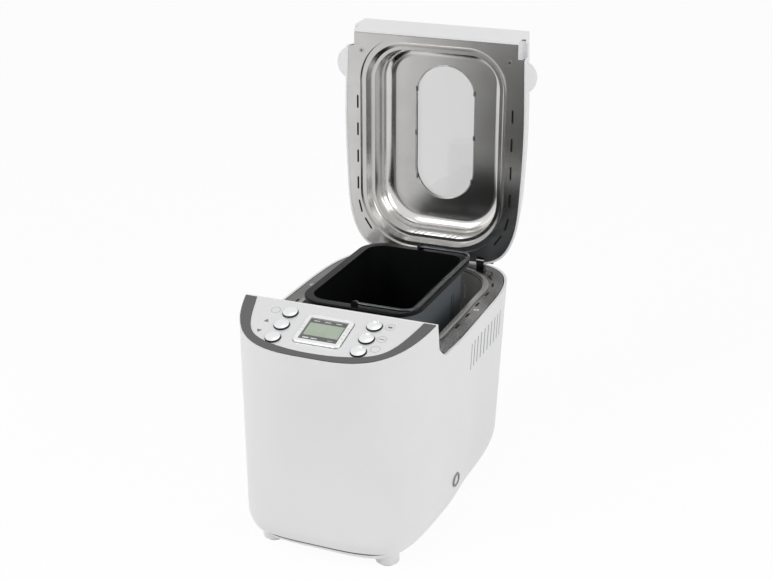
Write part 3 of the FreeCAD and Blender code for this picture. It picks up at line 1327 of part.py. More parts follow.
def make_inner_pane():
    z = lid_low() + DOME_DEPTH + SHEET
    return swing_open(prism_z(window_plan(PANE_LAP, z), PANE_THICKNESS))


def make_outer_pane():
    plug = prism_z(window_plan(WINDOW_LAP - PANE_GAP, lid_low()), FAR)
    skin = lid_solid(0, lid_low()).cut(lid_solid(PANE_THICKNESS, lid_low() - OVERCUT))
    return swing_open(plug.common(skin))


def make_window_gasket():
    z = lid_low() + DOME_DEPTH + SHEET + PANE_THICKNESS
    ring = prism_z(window_plan(PANE_LAP, z), FAR).cut(prism_z(window_plan(PANE_LAP - GASKET_WIDTH, z), FAR))
    return swing_open(ring.common(lid_solid(PANE_THICKNESS + WALL_FIT, lid_low())))


def make_lid_screws():
    screws = []
    for side in (-1, 1):
        x = side * LID_SCREW_X
        low = lid_low()
        head = rod(SCREW_HEAD_RADIUS, (x, LID_SCREW_Y, low - SCREW_HEAD_HEIGHT), Z_AXIS, SCREW_HEAD_HEIGHT)
        shank = rod(SCREW_SHANK_RADIUS, (x, LID_SCREW_Y, low), Z_AXIS, SCREW_LENGTH)
        screws.append(swing_open(fuse([head, shank])))
    return Part.makeCompound(screws)


def make_hinge_pins():
    half = HINGE_LUG_WIDTH / 2 + HINGE_SIDE_GAP + HINGE_BOSS_WIDTH
    return both_sides(rod(HINGE_PIN_RADIUS, (HINGE_X - half, HINGE_Y, HINGE_Z), X_AXIS, 2 * half))


def make_hinge_brackets():
    brackets = []
    under = DECK_Z - SHEET - LEDGE_THICKNESS
    low = under - HINGE_FOOT_THICKNESS
    front = HINGE_Y - HINGE_LUG_RADIUS
    rear = HINGE_Y + HINGE_NECK_REAR
    half = HINGE_LUG_WIDTH / 2
    for side in (-1, 1):
        x = side * HINGE_X
        lug = rod(HINGE_LUG_RADIUS, (x - half, HINGE_Y, HINGE_Z), X_AXIS, HINGE_LUG_WIDTH)
        neck = box(x - half, x + half, front, rear, low, HINGE_Z)
        foot = box(x - HINGE_FOOT, x + HINGE_FOOT, front, rear, low, under)
        bore = rod(HINGE_PIN_RADIUS + SHAFT_GAP, (x - half, HINGE_Y, HINGE_Z), X_AXIS, HINGE_LUG_WIDTH)
        brackets.append(fuse([lug, neck, foot]).cut(bore))
    return Part.makeCompound(brackets)


def build():
    front_y, rear_y = shaft_rows()
    nodes = {
        "housing_shell": make_housing,
        "base_plate": make_base_plate,
        "feet": make_feet,
        "foot_pads": make_foot_pads,
        "top_deck": make_deck,
        "deck_screws": make_deck_screws,
        "oven_chamber": make_oven,
        "heating_element": make_heater,
        "heater_insulators": make_insulators,
        "heater_supports": make_heater_supports,
        "temperature_probe": make_probe,
        "pan_seat": make_pan_seat,
        "pan_seat_clips": make_seat_clips,
        "control_fascia": make_fascia,
        "fascia_trim": make_trim,
        "display_bezel": make_bezel,
        "display_lens": make_display_lens,
        "display_module": make_display_module,
        "control_board": make_control_board,
        "drive_chassis": make_chassis,
        "shaft_bearings": make_bearings,
        "motor": make_motor,
        "motor_capacitor": make_capacitor,
        "motor_shaft": make_motor_shaft,
        "motor_pulley": lambda: pulley(MOTOR_PULLEY_RADIUS, MOTOR_Y, LOWER_PULLEY_Z, MOTOR_SHAFT_RADIUS),
        "front_drive_shaft": lambda: make_drive_shaft(front_y, LOWER_PULLEY_Z - PULLEY_FLANGE),
        "front_large_pulley": lambda: make_large_pulley(front_y),
        "front_small_pulley": lambda: pulley(SMALL_PULLEY_RADIUS, front_y, UPPER_PULLEY_Z, SHAFT_RADIUS),
        "rear_drive_shaft": lambda: make_drive_shaft(rear_y, UPPER_PULLEY_Z - PULLEY_FLANGE),
        "rear_small_pulley": lambda: pulley(SMALL_PULLEY_RADIUS, rear_y, UPPER_PULLEY_Z, SHAFT_RADIUS),
        "primary_belt": lambda: belt(MOTOR_PULLEY_RADIUS, MOTOR_Y, LARGE_PULLEY_RADIUS, front_y,
                                     LOWER_PULLEY_Z),
        "secondary_belt": lambda: belt(SMALL_PULLEY_RADIUS, front_y, SMALL_PULLEY_RADIUS, rear_y,
                                       UPPER_PULLEY_Z),
        "power_board": make_power_board,
        "rocker_frame": make_rocker_frame,
        "power_rocker": make_rocker,
        "cord_gland": make_gland,
        "bread_pan": make_pan,
        "pan_base": make_pan_base,
        "pan_bushes": make_pan_bushes,
        "shaft_seals": make_shaft_seals,
        "pan_handle": make_handle,
        "handle_pivots": make_handle_pivots,
        "front_pan_shaft": lambda: make_pan_shaft(front_y),
        "rear_pan_shaft": lambda: make_pan_shaft(rear_y),
        "front_paddle": lambda: make_paddle(front_y),
        "rear_paddle": lambda: make_paddle(rear_y),
        "lid_shell": make_lid_shell,
        "lid_liner": make_lid_liner,
        "inner_window_pane": make_inner_pane,
        "outer_window_pane": make_outer_pane,
        "window_gasket": make_window_gasket,
        "lid_screws": make_lid_screws,
        "hinge_pins": make_hinge_pins,
        "hinge_brackets": make_hinge_brackets,
    }
    names = [side + "_button_" + row for side in ("left", "right") for row in "123"]
    os.makedirs("parts", exist_ok=True)
    for name, maker in nodes.items():
        export(name, maker())
    for name, (x, y) in zip(names, button_places()):
        export(name, make_button(x, y))


def export(name, shape):
    print(name, len(shape.Solids), round(shape.Volume, 1), shape.isValid())
    shape.exportStep("parts/" + name + ".step")


build()
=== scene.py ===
import math
import bmesh
import bpy
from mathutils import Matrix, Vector
from mathutils.bvhtree import BVHTree
from mathutils.geometry import convex_hull_2d


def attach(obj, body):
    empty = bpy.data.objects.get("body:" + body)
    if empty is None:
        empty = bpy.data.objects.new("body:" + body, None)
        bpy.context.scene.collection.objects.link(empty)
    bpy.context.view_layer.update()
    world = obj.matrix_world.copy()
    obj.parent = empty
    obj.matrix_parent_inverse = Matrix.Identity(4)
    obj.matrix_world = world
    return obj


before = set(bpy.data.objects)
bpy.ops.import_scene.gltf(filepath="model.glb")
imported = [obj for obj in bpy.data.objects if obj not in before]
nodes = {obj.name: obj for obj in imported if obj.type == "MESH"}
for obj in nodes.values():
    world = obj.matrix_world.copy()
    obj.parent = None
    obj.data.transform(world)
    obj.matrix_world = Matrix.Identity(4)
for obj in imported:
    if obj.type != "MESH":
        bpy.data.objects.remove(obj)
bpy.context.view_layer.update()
mm = 0.001
print("frame loaded with", len(nodes), "nodes")


def linear(hexColour):
    # an sRGB hex colour as the linear values that shaders take
    parts = [int(hexColour[i:i + 2], 16) / 255 for i in (1, 3, 5)]
    return [p / 12.92 if p <= 0.04045 else ((p + 0.055) / 1.055) ** 2.4 for p in parts] + [1.0]


def addNode(tree, kind, settings={}, links={}):
    node = tree.nodes.new("ShaderNode" + kind)
    for key, value in settings.items():
        if isinstance(key, str) and hasattr(node, key):
            setattr(node, key, value)
        else:
            node.inputs[key].default_value = value
    for key, source in links.items():
        tree.links.new(source, node.inputs[key])
    return node


def newMaterial(name):
    material = bpy.data.materials.new(name)
    material.use_nodes = True
    material.node_tree.nodes.clear()
    return material, material.node_tree


def perMm(size):
    return 1 / (size * mm)  # texture scale for a feature of this many millimetres


def twoTone(tree, factor, first, second, low=0.35, high=0.65):
    ramp = addNode(tree, "ValToRGB", {}, {"Fac": factor})
    for element, position, colour in zip(ramp.color_ramp.elements, (low, high), (first, second)):
        element.position = position
        element.color = linear(colour)
    return ramp.outputs["Color"]


def coverWith(tree, finish, colour, glossBy, bumpBy, settings):
    # the outer skin: glossBy varies its roughness and bumpBy lifts its surface
    gloss = addNode(tree, "MapRange", {"To Min": finish["gloss"][0], "To Max": finish["gloss"][1]},
                    {"Value": glossBy})
    strength, depthMm = finish["bump"]
    bump = addNode(tree, "Bump", {"Strength": strength, "Distance": depthMm * mm},
                   {"Height": bumpBy})
    skin = addNode(tree, "BsdfPrincipled", settings,
                   {"Base Color": colour, "Roughness": gloss.outputs["Result"],
                    "Normal": bump.outputs["Normal"]})
    addNode(tree, "OutputMaterial", {}, {"Surface": skin.outputs["BSDF"]})


def mouldedPlastic(name, finish):
    # injection-moulded plastic: an even satin skin with the pitted grain of a spark-eroded mould
    material, tree = newMaterial(name)
    place = addNode(tree, "TexCoord").outputs["Object"]
    drift = addNode(tree, "TexNoise", {"Scale": perMm(finish["driftMm"]), "Detail": 2.0},
                    {"Vector": place})
    grain = addNode(tree, "TexNoise", {"Scale": perMm(finish["grainMm"]), "Detail": 3.0},
                    {"Vector": place}).outputs["Fac"]
    colour = twoTone(tree, drift.outputs["Fac"], finish["shade"], finish["colour"])
    coverWith(tree, finish, colour, grain, grain, {"IOR": finish["ior"]})
    return material


def workedMetal(name, finish):
    # rolled, turned or cast metal: long faint grain lines that break up the reflections
    material, tree = newMaterial(name)
    place = addNode(tree, "TexCoord").outputs["Object"]
    lines = addNode(tree, "Mapping", {"Scale": [perMm(size) for size in finish["grainMm"]]},
                    {"Vector": place})
    grain = addNode(tree, "TexNoise", {"Scale": 1.0, "Detail": 4.0, "Roughness": 0.6},
                    {"Vector": lines.outputs["Vector"]}).outputs["Fac"]
    cloud = addNode(tree, "TexNoise", {"Scale": perMm(finish["cloudMm"]), "Detail": 3.0},
                    {"Vector": place})
    colour = twoTone(tree, cloud.outputs["Fac"], finish["shade"], finish["colour"])
    if "rimZ" in finish:  # a darker grey painted on the rolled edge above the brighter wall: a painted dark reflection
        height = addNode(tree, "SeparateXYZ", {}, {"Vector": place})
        onRim = addNode(tree, "MapRange", {"From Min": finish["rimZ"][0] * mm,
                                           "From Max": finish["rimZ"][1] * mm},
                        {"Value": height.outputs["Z"]})
        # sockets 6 and 7 of a Mix node are its two colours
        colour = addNode(tree, "Mix", {"data_type": "RGBA", 7: linear(finish["rimPaintedReflection"])},
                         {"Factor": onRim.outputs["Result"], 6: colour}).outputs[2]
    coverWith(tree, finish, colour, grain, grain, {"Metallic": finish["metallic"]})
    return material


def sprayedLacquer(name, finish):
    # metallic lacquer sprayed on ABS: tiny flakes under a satin varnish
    material, tree = newMaterial(name)
    place = addNode(tree, "TexCoord").outputs["Object"]
    flake = addNode(tree, "TexVoronoi", {"Scale": perMm(finish["flakeMm"])},
                    {"Vector": place}).outputs["Distance"]
    cloud = addNode(tree, "TexNoise", {"Scale": perMm(finish["cloudMm"]), "Detail": 2.0},
                    {"Vector": place})
    colour = twoTone(tree, flake, finish["shade"], finish["colour"], *finish["flakeSpan"])
    coverWith(tree, finish, colour, cloud.outputs["Fac"], flake,
              {"Metallic": finish["metallic"], "Coat Weight": 0.25, "Coat Roughness": 0.15})
    return material


def platedKeyCapPaintedReflection(name, finish):
    # satin-chromed ABS key: a pale domed top, and a dark side laid on by which way each face turns:
    # a painted reflection of the gap round it
    material, tree = newMaterial(name)
    coords = addNode(tree, "TexCoord")
    tilt = math.radians(finish["tilt"])
    facing = addNode(tree, "VectorMath", {"operation": "DOT_PRODUCT",
                                          1: [0, -math.sin(tilt), math.cos(tilt)]},
                     {0: coords.outputs["Normal"]})
    grain = addNode(tree, "TexNoise", {"Scale": perMm(finish["grainMm"]), "Detail": 3.0},
                    {"Vector": coords.outputs["Object"]}).outputs["Fac"]
    colour = twoTone(tree, facing.outputs["Value"], finish["side"], finish["top"],
                     *finish["facing"])
    coverWith(tree, finish, colour, grain, grain, {"Metallic": finish["metallic"]})
    return material


def sprayedNonStickCoat(name, finish):
    # sprayed PTFE on deep-drawn aluminium: black inside and on the rim, a greyer overspray outside
    material, tree = newMaterial(name)
    coords = addNode(tree, "TexCoord")
    place = coords.outputs["Object"]
    out = addNode(tree, "VectorMath", {"operation": "SUBTRACT", 1: [0, finish["centreY"] * mm, 0]},
                  {0: place})
    flat = addNode(tree, "VectorMath", {"operation": "MULTIPLY", 1: [1, 1, 0]},
                   {0: out.outputs["Vector"]})
    # below zero on the faces that look in towards the middle of the pan
    facing = addNode(tree, "VectorMath", {"operation": "DOT_PRODUCT"},
                     {0: flat.outputs["Vector"], 1: coords.outputs["Normal"]})
    outer = addNode(tree, "MapRange", {"From Min": finish["facingOut"][0],
                                       "From Max": finish["facingOut"][1]},
                    {"Value": facing.outputs["Value"]})
    height = addNode(tree, "SeparateXYZ", {}, {"Vector": place}).outputs["Z"]
    mask = outer.outputs["Result"]
    # the grey fades out at the floor and under the rim
    for none, full in (finish["floorZ"], finish["rimZ"]):
        inside = addNode(tree, "MapRange", {"From Min": none * mm, "From Max": full * mm},
                         {"Value": height})
        mask = addNode(tree, "Math", {"operation": "MULTIPLY"},
                       {0: mask, 1: inside.outputs["Result"]}).outputs["Value"]
    fleck = addNode(tree, "TexNoise", {"Scale": perMm(finish["fleckMm"]), "Detail": 3.0},
                    {"Vector": place}).outputs["Fac"]
    black, grey = (twoTone(tree, fleck, *finish[side], *finish["fleckSpan"])
                   for side in ("inside", "outside"))
    colour = addNode(tree, "Mix", {"data_type": "RGBA"}, {"Factor": mask, 6: black, 7: grey})
    coverWith(tree, finish, colour.outputs[2], fleck, fleck,
              {"IOR": finish["ior"], "Specular IOR Level": finish["specular"]})
    return material


def temperedGlass(name, finish):
    # tempered float glass: clear with a slight grey cast and the faint waves that rollers leave
    material, tree = newMaterial(name)
    place = addNode(tree, "TexCoord").outputs["Object"]
    wave = addNode(tree, "TexNoise", {"Scale": perMm(finish["waveMm"]), "Detail": 1.0},
                   {"Vector": place})
    strength, depthMm = finish["bump"]
    bump = addNode(tree, "Bump", {"Strength": strength, "Distance": depthMm * mm},
                   {"Height": wave.outputs["Fac"]})
    skin = addNode(tree, "BsdfPrincipled",
                   {"Base Color": linear(finish["colour"]), "Transmission Weight": 1.0,
                    "IOR": finish["ior"], "Roughness": finish["gloss"]},
                   {"Normal": bump.outputs["Normal"]})
    addNode(tree, "OutputMaterial", {}, {"Surface": skin.outputs["BSDF"]})
    return material


# the real grain is about 0.05 mm and is drawn at 0.5 mm and more so that it shows
plasticFinishes = {
    # ABS moulded in white: even and softly shiny
    "whiteMouldedAbs": {
        "colour": "#ECECED", "shade": "#EAEAEB", "driftMm": 90, "grainMm": 0.6,
        "gloss": (0.3, 0.42), "bump": (0.08, 0.05), "ior": 1.53},
    # ABS moulded in mid grey: a little duller than the white
    "greyMouldedAbs": {
        "colour": "#8D9092", "shade": "#838688", "driftMm": 30, "grainMm": 0.6,
        "gloss": (0.35, 0.5), "bump": (0.12, 0.05), "ior": 1.53},
    # soft rubber moulded near black: dull, with broad weak highlights
    "mouldedRubber": {
        "colour": "#3A3B3C", "shade": "#2E2F30", "driftMm": 12, "grainMm": 0.7,
        "gloss": (0.55, 0.75), "bump": (0.2, 0.05), "ior": 1.5},
    # nylon moulded near black for the clips, with a faint sheen; the same near black is painted
    # shade in shallow gaps, screw recesses and along the base
    "clipNylonAndGapShade": {
        "colour": "#2A2B2C", "shade": "#222324", "driftMm": 10, "grainMm": 0.6,
        "gloss": (0.35, 0.5), "bump": (0.1, 0.05), "ior": 1.53},
    # matte black with hardly a highlight: painted shade in slots and in the gap along the deck
    "matteBlackPaintedShade": {
        "colour": "#0B0B0B", "shade": "#080808", "driftMm": 10, "grainMm": 0.6,
        "gloss": (0.75, 0.9), "bump": (0.1, 0.05), "ior": 1.3},
    # ink printed in mid grey: flat and dull
    "printedInk": {
        "colour": "#7B7C7E", "shade": "#6E6F71", "driftMm": 4, "grainMm": 0.5,
        "gloss": (0.45, 0.6), "bump": (0.05, 0.05), "ior": 1.5},
    # ink printed in pale grey: just darker than the lacquer under it
    "palePrintedInk": {
        "colour": "#B4B5B7", "shade": "#A7A8AA", "driftMm": 4, "grainMm": 0.5,
        "gloss": (0.45, 0.6), "bump": (0.05, 0.05), "ior": 1.5},
    # ink printed in white: clear on the dark mask
    "whitePrintedInk": {
        "colour": "#E9ECEA", "shade": "#DADDDB", "driftMm": 4, "grainMm": 0.5,
        "gloss": (0.45, 0.6), "bump": (0.05, 0.05), "ior": 1.5},
    # dark mask printed on the display's face: smooth, with a soft shine
    "printedDisplayMask": {
        "colour": "#5E615F", "shade": "#575A58", "driftMm": 10, "grainMm": 0.5,
        "gloss": (0.25, 0.35), "bump": (0.03, 0.05), "ior": 1.5},
    # polished glass over liquid crystal: grey-green with clear highlights
    "polishedDisplayGlass": {
        "colour": "#AEBBA9", "shade": "#A3B09E", "driftMm": 25, "grainMm": 0.5,
        "gloss": (0.1, 0.16), "bump": (0.02, 0.05), "ior": 1.5},
    # solder mask printed on a circuit board: green and slightly uneven
    "printedSolderMask": {
        "colour": "#2F6B45", "shade": "#285E3C", "driftMm": 8, "grainMm": 0.8,
        "gloss": (0.3, 0.45), "bump": (0.15, 0.05), "ior": 1.5},
    # steatite pressed and fired: cream and chalky
    "firedCeramic": {
        "colour": "#E3DFD3", "shade": "#D8D3C5", "driftMm": 6, "grainMm": 0.6,
        "gloss": (0.45, 0.6), "bump": (0.15, 0.05), "ior": 1.6},
    # belt rubber, moulded and ground: black and dull
    "mouldedBeltRubber": {
        "colour": "#232323", "shade": "#1B1B1B", "driftMm": 6, "grainMm": 0.8,
        "gloss": (0.6, 0.8), "bump": (0.25, 0.05), "ior": 1.5},
}

# rolling lines are a few hundredths of a millimetre wide and are drawn several times wider
metalFinishes = {
    # stainless steel rolled bright: long streaks in clear reflections
    "brightRolledSteel": {
        "colour": "#D2D1CF", "shade": "#C8C7C5", "grainMm": (0.6, 14, 14), "cloudMm": 60,
        "gloss": (0.15, 0.22), "bump": (0.02, 0.02), "metallic": 1.0},
    # thinly coated steel drawn to a well: a pale wall with upright streaks, and a painted dark
    # reflection on the rolled rim
    "drawnOvenSteel": {
        "colour": "#DEDDDA", "shade": "#D2D1CE", "grainMm": (0.8, 0.8, 16), "cloudMm": 45,
        "gloss": (0.18, 0.28), "bump": (0.02, 0.02), "metallic": 0.45, "rimZ": (245, 246),
        "rimPaintedReflection": "#8A8988"},
    # stainless steel brushed front to back: dark, with its reflections drawn out
    "brushedDeckSteel": {
        "colour": "#626160", "shade": "#585756", "grainMm": (0.5, 20, 2), "cloudMm": 50,
        "gloss": (0.16, 0.22), "bump": (0.015, 0.02), "metallic": 1.0},
    # steel plated with zinc: pale grey with a cloudy spangle
    "zincPlatedSteel": {
        "colour": "#B9BAB8", "shade": "#A6A8A4", "grainMm": (5, 5, 5), "cloudMm": 14,
        "gloss": (0.28, 0.42), "bump": (0.05, 0.02), "metallic": 1.0},
    # steel turned on a lathe: a fine grain and small sharp glints
    "turnedScrewSteel": {
        "colour": "#C4C4C4", "shade": "#B2B2B2", "grainMm": (0.6, 0.6, 2), "cloudMm": 6,
        "gloss": (0.16, 0.28), "bump": (0.04, 0.02), "metallic": 1.0},
    # steel wire drawn and blackened: dark with one thin highlight along it
    "blackenedSteelWire": {
        "colour": "#4B4F51", "shade": "#414547", "grainMm": (0.7, 9, 0.7), "cloudMm": 12,
        "gloss": (0.18, 0.26), "bump": (0.01, 0.02), "metallic": 1.0},
    # steel sheath, annealed: brown-grey and dulled by heat
    "annealedSteelSheath": {
        "colour": "#5D5A54", "shade": "#4C4A46", "grainMm": (1, 1, 1), "cloudMm": 10,
        "gloss": (0.4, 0.55), "bump": (0.1, 0.02), "metallic": 1.0},
    # aluminium cast in a die: pale with a grainy skin
    "castAluminium": {
        "colour": "#B7B8B8", "shade": "#A3A5A5", "grainMm": (1, 1, 1), "cloudMm": 8,
        "gloss": (0.35, 0.5), "bump": (0.12, 0.02), "metallic": 1.0},
    # bronze pressed and sintered: warm and porous
    "sinteredBronze": {
        "colour": "#B58A4F", "shade": "#A07640", "grainMm": (0.6, 0.6, 0.6), "cloudMm": 5,
        "gloss": (0.35, 0.5), "bump": (0.12, 0.02), "metallic": 1.0},
}

# the real flakes are about 0.03 mm and are drawn larger
lacquerFinishes = {
    # silver lacquer sprayed on ABS: pale with a quiet sparkle
    "sprayedSilverLacquer": {
        "colour": "#E3E3E4", "shade": "#D5D5D6", "flakeMm": 0.6, "cloudMm": 30,
        "flakeSpan": (0.1, 0.7), "gloss": (0.34, 0.42), "bump": (0.06, 0.02), "metallic": 0.45},
    # pale lacquer sprayed on ABS: brighter, with sharper reflections
    "sprayedPaleLacquer": {
        "colour": "#F0F0F0", "shade": "#E6E6E6", "flakeMm": 0.6, "cloudMm": 30,
        "flakeSpan": (0.1, 0.7), "gloss": (0.12, 0.2), "bump": (0.06, 0.02), "metallic": 0.7},
    # dark grey lacquer sprayed on ABS: smooth, with a metallic sheen
    "sprayedDarkLacquer": {
        "colour": "#626263", "shade": "#585859", "flakeMm": 0.6, "cloudMm": 30,
        "flakeSpan": (0.1, 0.7), "gloss": (0.2, 0.28), "bump": (0.06, 0.02), "metallic": 0.8},
}

finishes = {name: mouldedPlastic(name, values) for name, values in plasticFinishes.items()}
finishes.update({name: workedMetal(name, values) for name, values in metalFinishes.items()})
finishes.update({name: sprayedLacquer(name, values) for name, values in lacquerFinishes.items()})
# the dark side colour is a painted reflection of the gap round the key
finishes["platedKeyCapPaintedReflection"] = platedKeyCapPaintedReflection("platedKeyCapPaintedReflection", {
    "top": "#E9EAEB", "side": "#4A4B4D", "facing": (0.25, 0.6), "tilt": 15, "grainMm": 0.8,
    "gloss": (0.22, 0.3), "bump": (0.02, 0.02), "metallic": 0.7})
finishes["sprayedNonStickCoat"] = sprayedNonStickCoat("sprayedNonStickCoat", {
    "centreY": 19, "facingOut": (-0.004, -0.001), "floorZ": (106, 114), "rimZ": (274, 271),
    "inside": ("#0B0C0C", "#151616"), "outside": ("#666B6E", "#757B7F"), "fleckMm": 0.9,
    "fleckSpan": (0.45, 0.75), "gloss": (0.36, 0.48), "bump": (0.08, 0.04), "ior": 1.35,
    "specular": 0.2})
finishes["temperedGlass"] = temperedGlass("temperedGlass", {
    "colour": "#EAEAEA", "waveMm": 40, "gloss": 0.02, "bump": (0.02, 0.05), "ior": 1.5})
print("finishes made:", len(finishes))

finishOfNode = {
    "whiteMouldedAbs": ["housing_shell", "lid_shell", "feet", "power_rocker"],
    "greyMouldedAbs": ["rocker_frame", "motor_capacitor", "front_large_pulley",
                       "front_small_pulley", "motor_pulley", "rear_small_pulley"],
    "sprayedDarkLacquer": ["fascia_trim"],
    "mouldedRubber": ["foot_pads", "cord_gland", "shaft_seals", "window_gasket"],
    "mouldedBeltRubber": ["primary_belt", "secondary_belt"],
    "polishedDisplayGlass": ["display_lens", "display_module"],
    "printedSolderMask": ["control_board", "power_board"],
    "firedCeramic": ["heater_insulators"],
    "brightRolledSteel": ["lid_liner"],
    "drawnOvenSteel": ["oven_chamber", "heater_supports"],
    "brushedDeckSteel": ["top_deck", "hinge_brackets"],
    "zincPlatedSteel": ["base_plate", "drive_chassis", "motor", "pan_seat_clips"],
    "turnedScrewSteel": ["deck_screws", "lid_screws", "hinge_pins", "handle_pivots",
                         "front_drive_shaft", "rear_drive_shaft", "front_pan_shaft",
                         "rear_pan_shaft", "motor_shaft", "temperature_probe"],
    "blackenedSteelWire": ["pan_handle"],
    "annealedSteelSheath": ["heating_element"],
    "castAluminium": ["pan_base", "pan_seat"],
    "sinteredBronze": ["pan_bushes", "shaft_bearings"],
    "platedKeyCapPaintedReflection": [f"{side}_button_{row}" for side in ("left", "right") for row in (1, 2, 3)],
    "sprayedSilverLacquer": ["control_fascia"],
    "sprayedPaleLacquer": ["display_bezel"],
    "sprayedNonStickCoat": ["bread_pan", "front_paddle", "rear_paddle"],
    "temperedGlass": ["inner_window_pane", "outer_window_pane"],
}
for finish, names in finishOfNode.items():
    for name in names:
        nodes[name].material_slots[0].material = finishes[finish]
print("nodes finished:", sum(len(names) for names in finishOfNode.values()), "of", len(nodes))


def joinRows(bm, rows):
    # the skin between rows of points that each go once round
    for row, after in zip(rows, rows[1:]):
        for i in range(len(row)):
            j = (i + 1) % len(row)
            bm.faces.new((row[i], row[j], after[j], after[i]))


def addPlate(bm, outline, low, high, place):
    # a thin plate: its outline in the plane, from height low to high, set by place(u, v, height)
    bottom = [bm.verts.new(place(u, v, low)) for u, v in outline]
    top = [bm.verts.new(place(u, v, high)) for u, v in outline]
    joinRows(bm, [bottom, top])
    bm.faces.new(top)
    bm.faces.new(bottom[::-1])


def addFrame(bm, outer, inner, low, high, place):
    # a flat ring between two outlines that have the same number of points
    rows = [[bm.verts.new(place(u, v, h)) for u, v in outline]
            for outline, h in ((inner, low), (inner, high), (outer, high), (outer, low))]
    joinRows(bm, rows + rows[:1])


def addRing(bm, centre, radius, width, low, high, place, steps=48):
    # a round ring, by its outer radius and its width
    turns = [2 * math.pi * i / steps for i in range(steps)]
    outer, inner = ([(centre[0] + r * math.cos(turn), centre[1] + r * math.sin(turn))
                     for turn in turns] for r in (radius, radius - width))
    addFrame(bm, outer, inner, low, high, place)


def roundedBar(u, v, halfU, halfV, radius, steps=6):
    # the outline of a bar with round corners, by its middle and its half sizes
    points = []
    for cu, cv, start in ((1, 1, 0), (-1, 1, 90), (-1, -1, 180), (1, -1, 270)):
        for i in range(steps + 1):
            angle = math.radians(start + 90 * i / steps)
            points.append((u + cu * (halfU - radius) + radius * math.cos(angle),
                           v + cv * (halfV - radius) + radius * math.sin(angle)))
    return points


def slotOutline(side, x, v, turn, values):
    # a slot turned about its middle, on one side of the machine
    cosTurn, sinTurn = math.cos(math.radians(turn)), math.sin(math.radians(turn))
    bar = roundedBar(0, 0, values["halfWide"], values["halfLong"], values["corner"])
    return [(side * (x + a * cosTurn - b * sinTurn), v + a * sinTurn + b * cosTurn)
            for a, b in bar]


def addPiece(name, bm, finish, body):
    bmesh.ops.recalc_face_normals(bm, faces=bm.faces)
    mesh = bpy.data.meshes.new(name)
    bm.to_mesh(mesh)
    bm.free()
    mesh.materials.append(finishes[finish])
    piece = bpy.data.objects.new(name, mesh)
    bpy.context.scene.collection.objects.link(piece)
    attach(piece, body)


panel = {"rearY": -131.3, "rearZ": 292.4, "fall": math.radians(15)}


def onPanel(across, down, height):
    # a place on the sloping control panel: millimetres across, down the slope and above it
    cosFall, sinFall = math.cos(panel["fall"]), math.sin(panel["fall"])
    return Vector((across, panel["rearY"] - down * cosFall - height * sinFall,
                   panel["rearZ"] - down * sinFall + height * cosFall)) * mm


def onLevel(z):
    # places on a level plane: millimetres across, back and above it
    return lambda u, v, h: Vector((u, v, z + h)) * mm


def onLidFace(y):
    # places on a plane that faces the front of the open lid: millimetres across, up and out of it
    return lambda u, v, h: Vector((u, y - h, v)) * mm


housingSkin = BVHTree.FromPolygons(
    [vertex.co for vertex in nodes["housing_shell"].data.vertices],
    [polygon.vertices for polygon in nodes["housing_shell"].data.polygons])


def onHousing(start, way, proud):
    # where a straight line meets the housing from outside, moved out by proud
    hit = housingSkin.ray_cast(Vector(start) * mm, Vector(way))[0]
    return hit - Vector(way) * proud * mm


keyMarks = {"rings": [(-70.5, 17.5), (69, 15.8), (67.8, 38), (67.5, 56)], "ringRadius": 5.6,
            "ringWidth": 0.55, "triangles": [(-72, 38.5, -1), (-73, 57, 1)], "triangle": 3.1,
            "foot": 0.6, "bars": [(69, 15.8, 2.6, 1.5, 1.0), (67.8, 38, 3.2, 0.5, 0.4)],
            "sink": 0.1, "proud": 0.12}


def makeKeyMarks():
    # plain rings, triangles and bars printed beside the keys
    low, high = -keyMarks["sink"], keyMarks["proud"]
    rings = bmesh.new()
    for centre in keyMarks["rings"]:
        addRing(rings, centre, keyMarks["ringRadius"], keyMarks["ringWidth"], low, high, onPanel)
    addPiece("key_rings", rings, "palePrintedInk", "machine_body")
    marks = bmesh.new()
    size = keyMarks["triangle"]
    for u, v, way in keyMarks["triangles"]:
        foot = v - way * size * keyMarks["foot"]
        addPlate(marks, [(u - size, foot), (u + size, foot), (u, v + way * size)], low, high,
                 onPanel)
    for bar in keyMarks["bars"]:
        addPlate(marks, roundedBar(*bar), low, high, onPanel)
    addPiece("key_marks", marks, "printedInk", "machine_body")


display = {"middle": 42, "halfWide": 22.6, "halfDeep": 18.6, "lensTop": 1.2, "topBand": 6.8,
           "bottomBand": 8.2, "edge": 1.6, "corner": 0.2, "sink": 0.1, "proud": 0.12,
           "topRow": 3.2, "topBars": [(-14.5, 3.6), (-1, 3.8), (12.5, 3.6)], "topHalf": 0.55,
           "topCorner": 0.5, "bottomRow": 3.6,
           "bottomBars": [(-15.5, 3.8, 0.9), (-5.5, 3.8, 0.8), (14, 3.0, 0.3)],
           "bottomCorner": 0.28, "barSink": 0.05, "barProud": 0.1, "bezelTop": 2.4,
           "tickOut": 25.9, "tickHalf": (1.3, 0.35), "tickCorner": 0.3,
           "ticks": {-1: (-5.5, 0.5, 6), 1: (-9, -4, 3, 9)}}


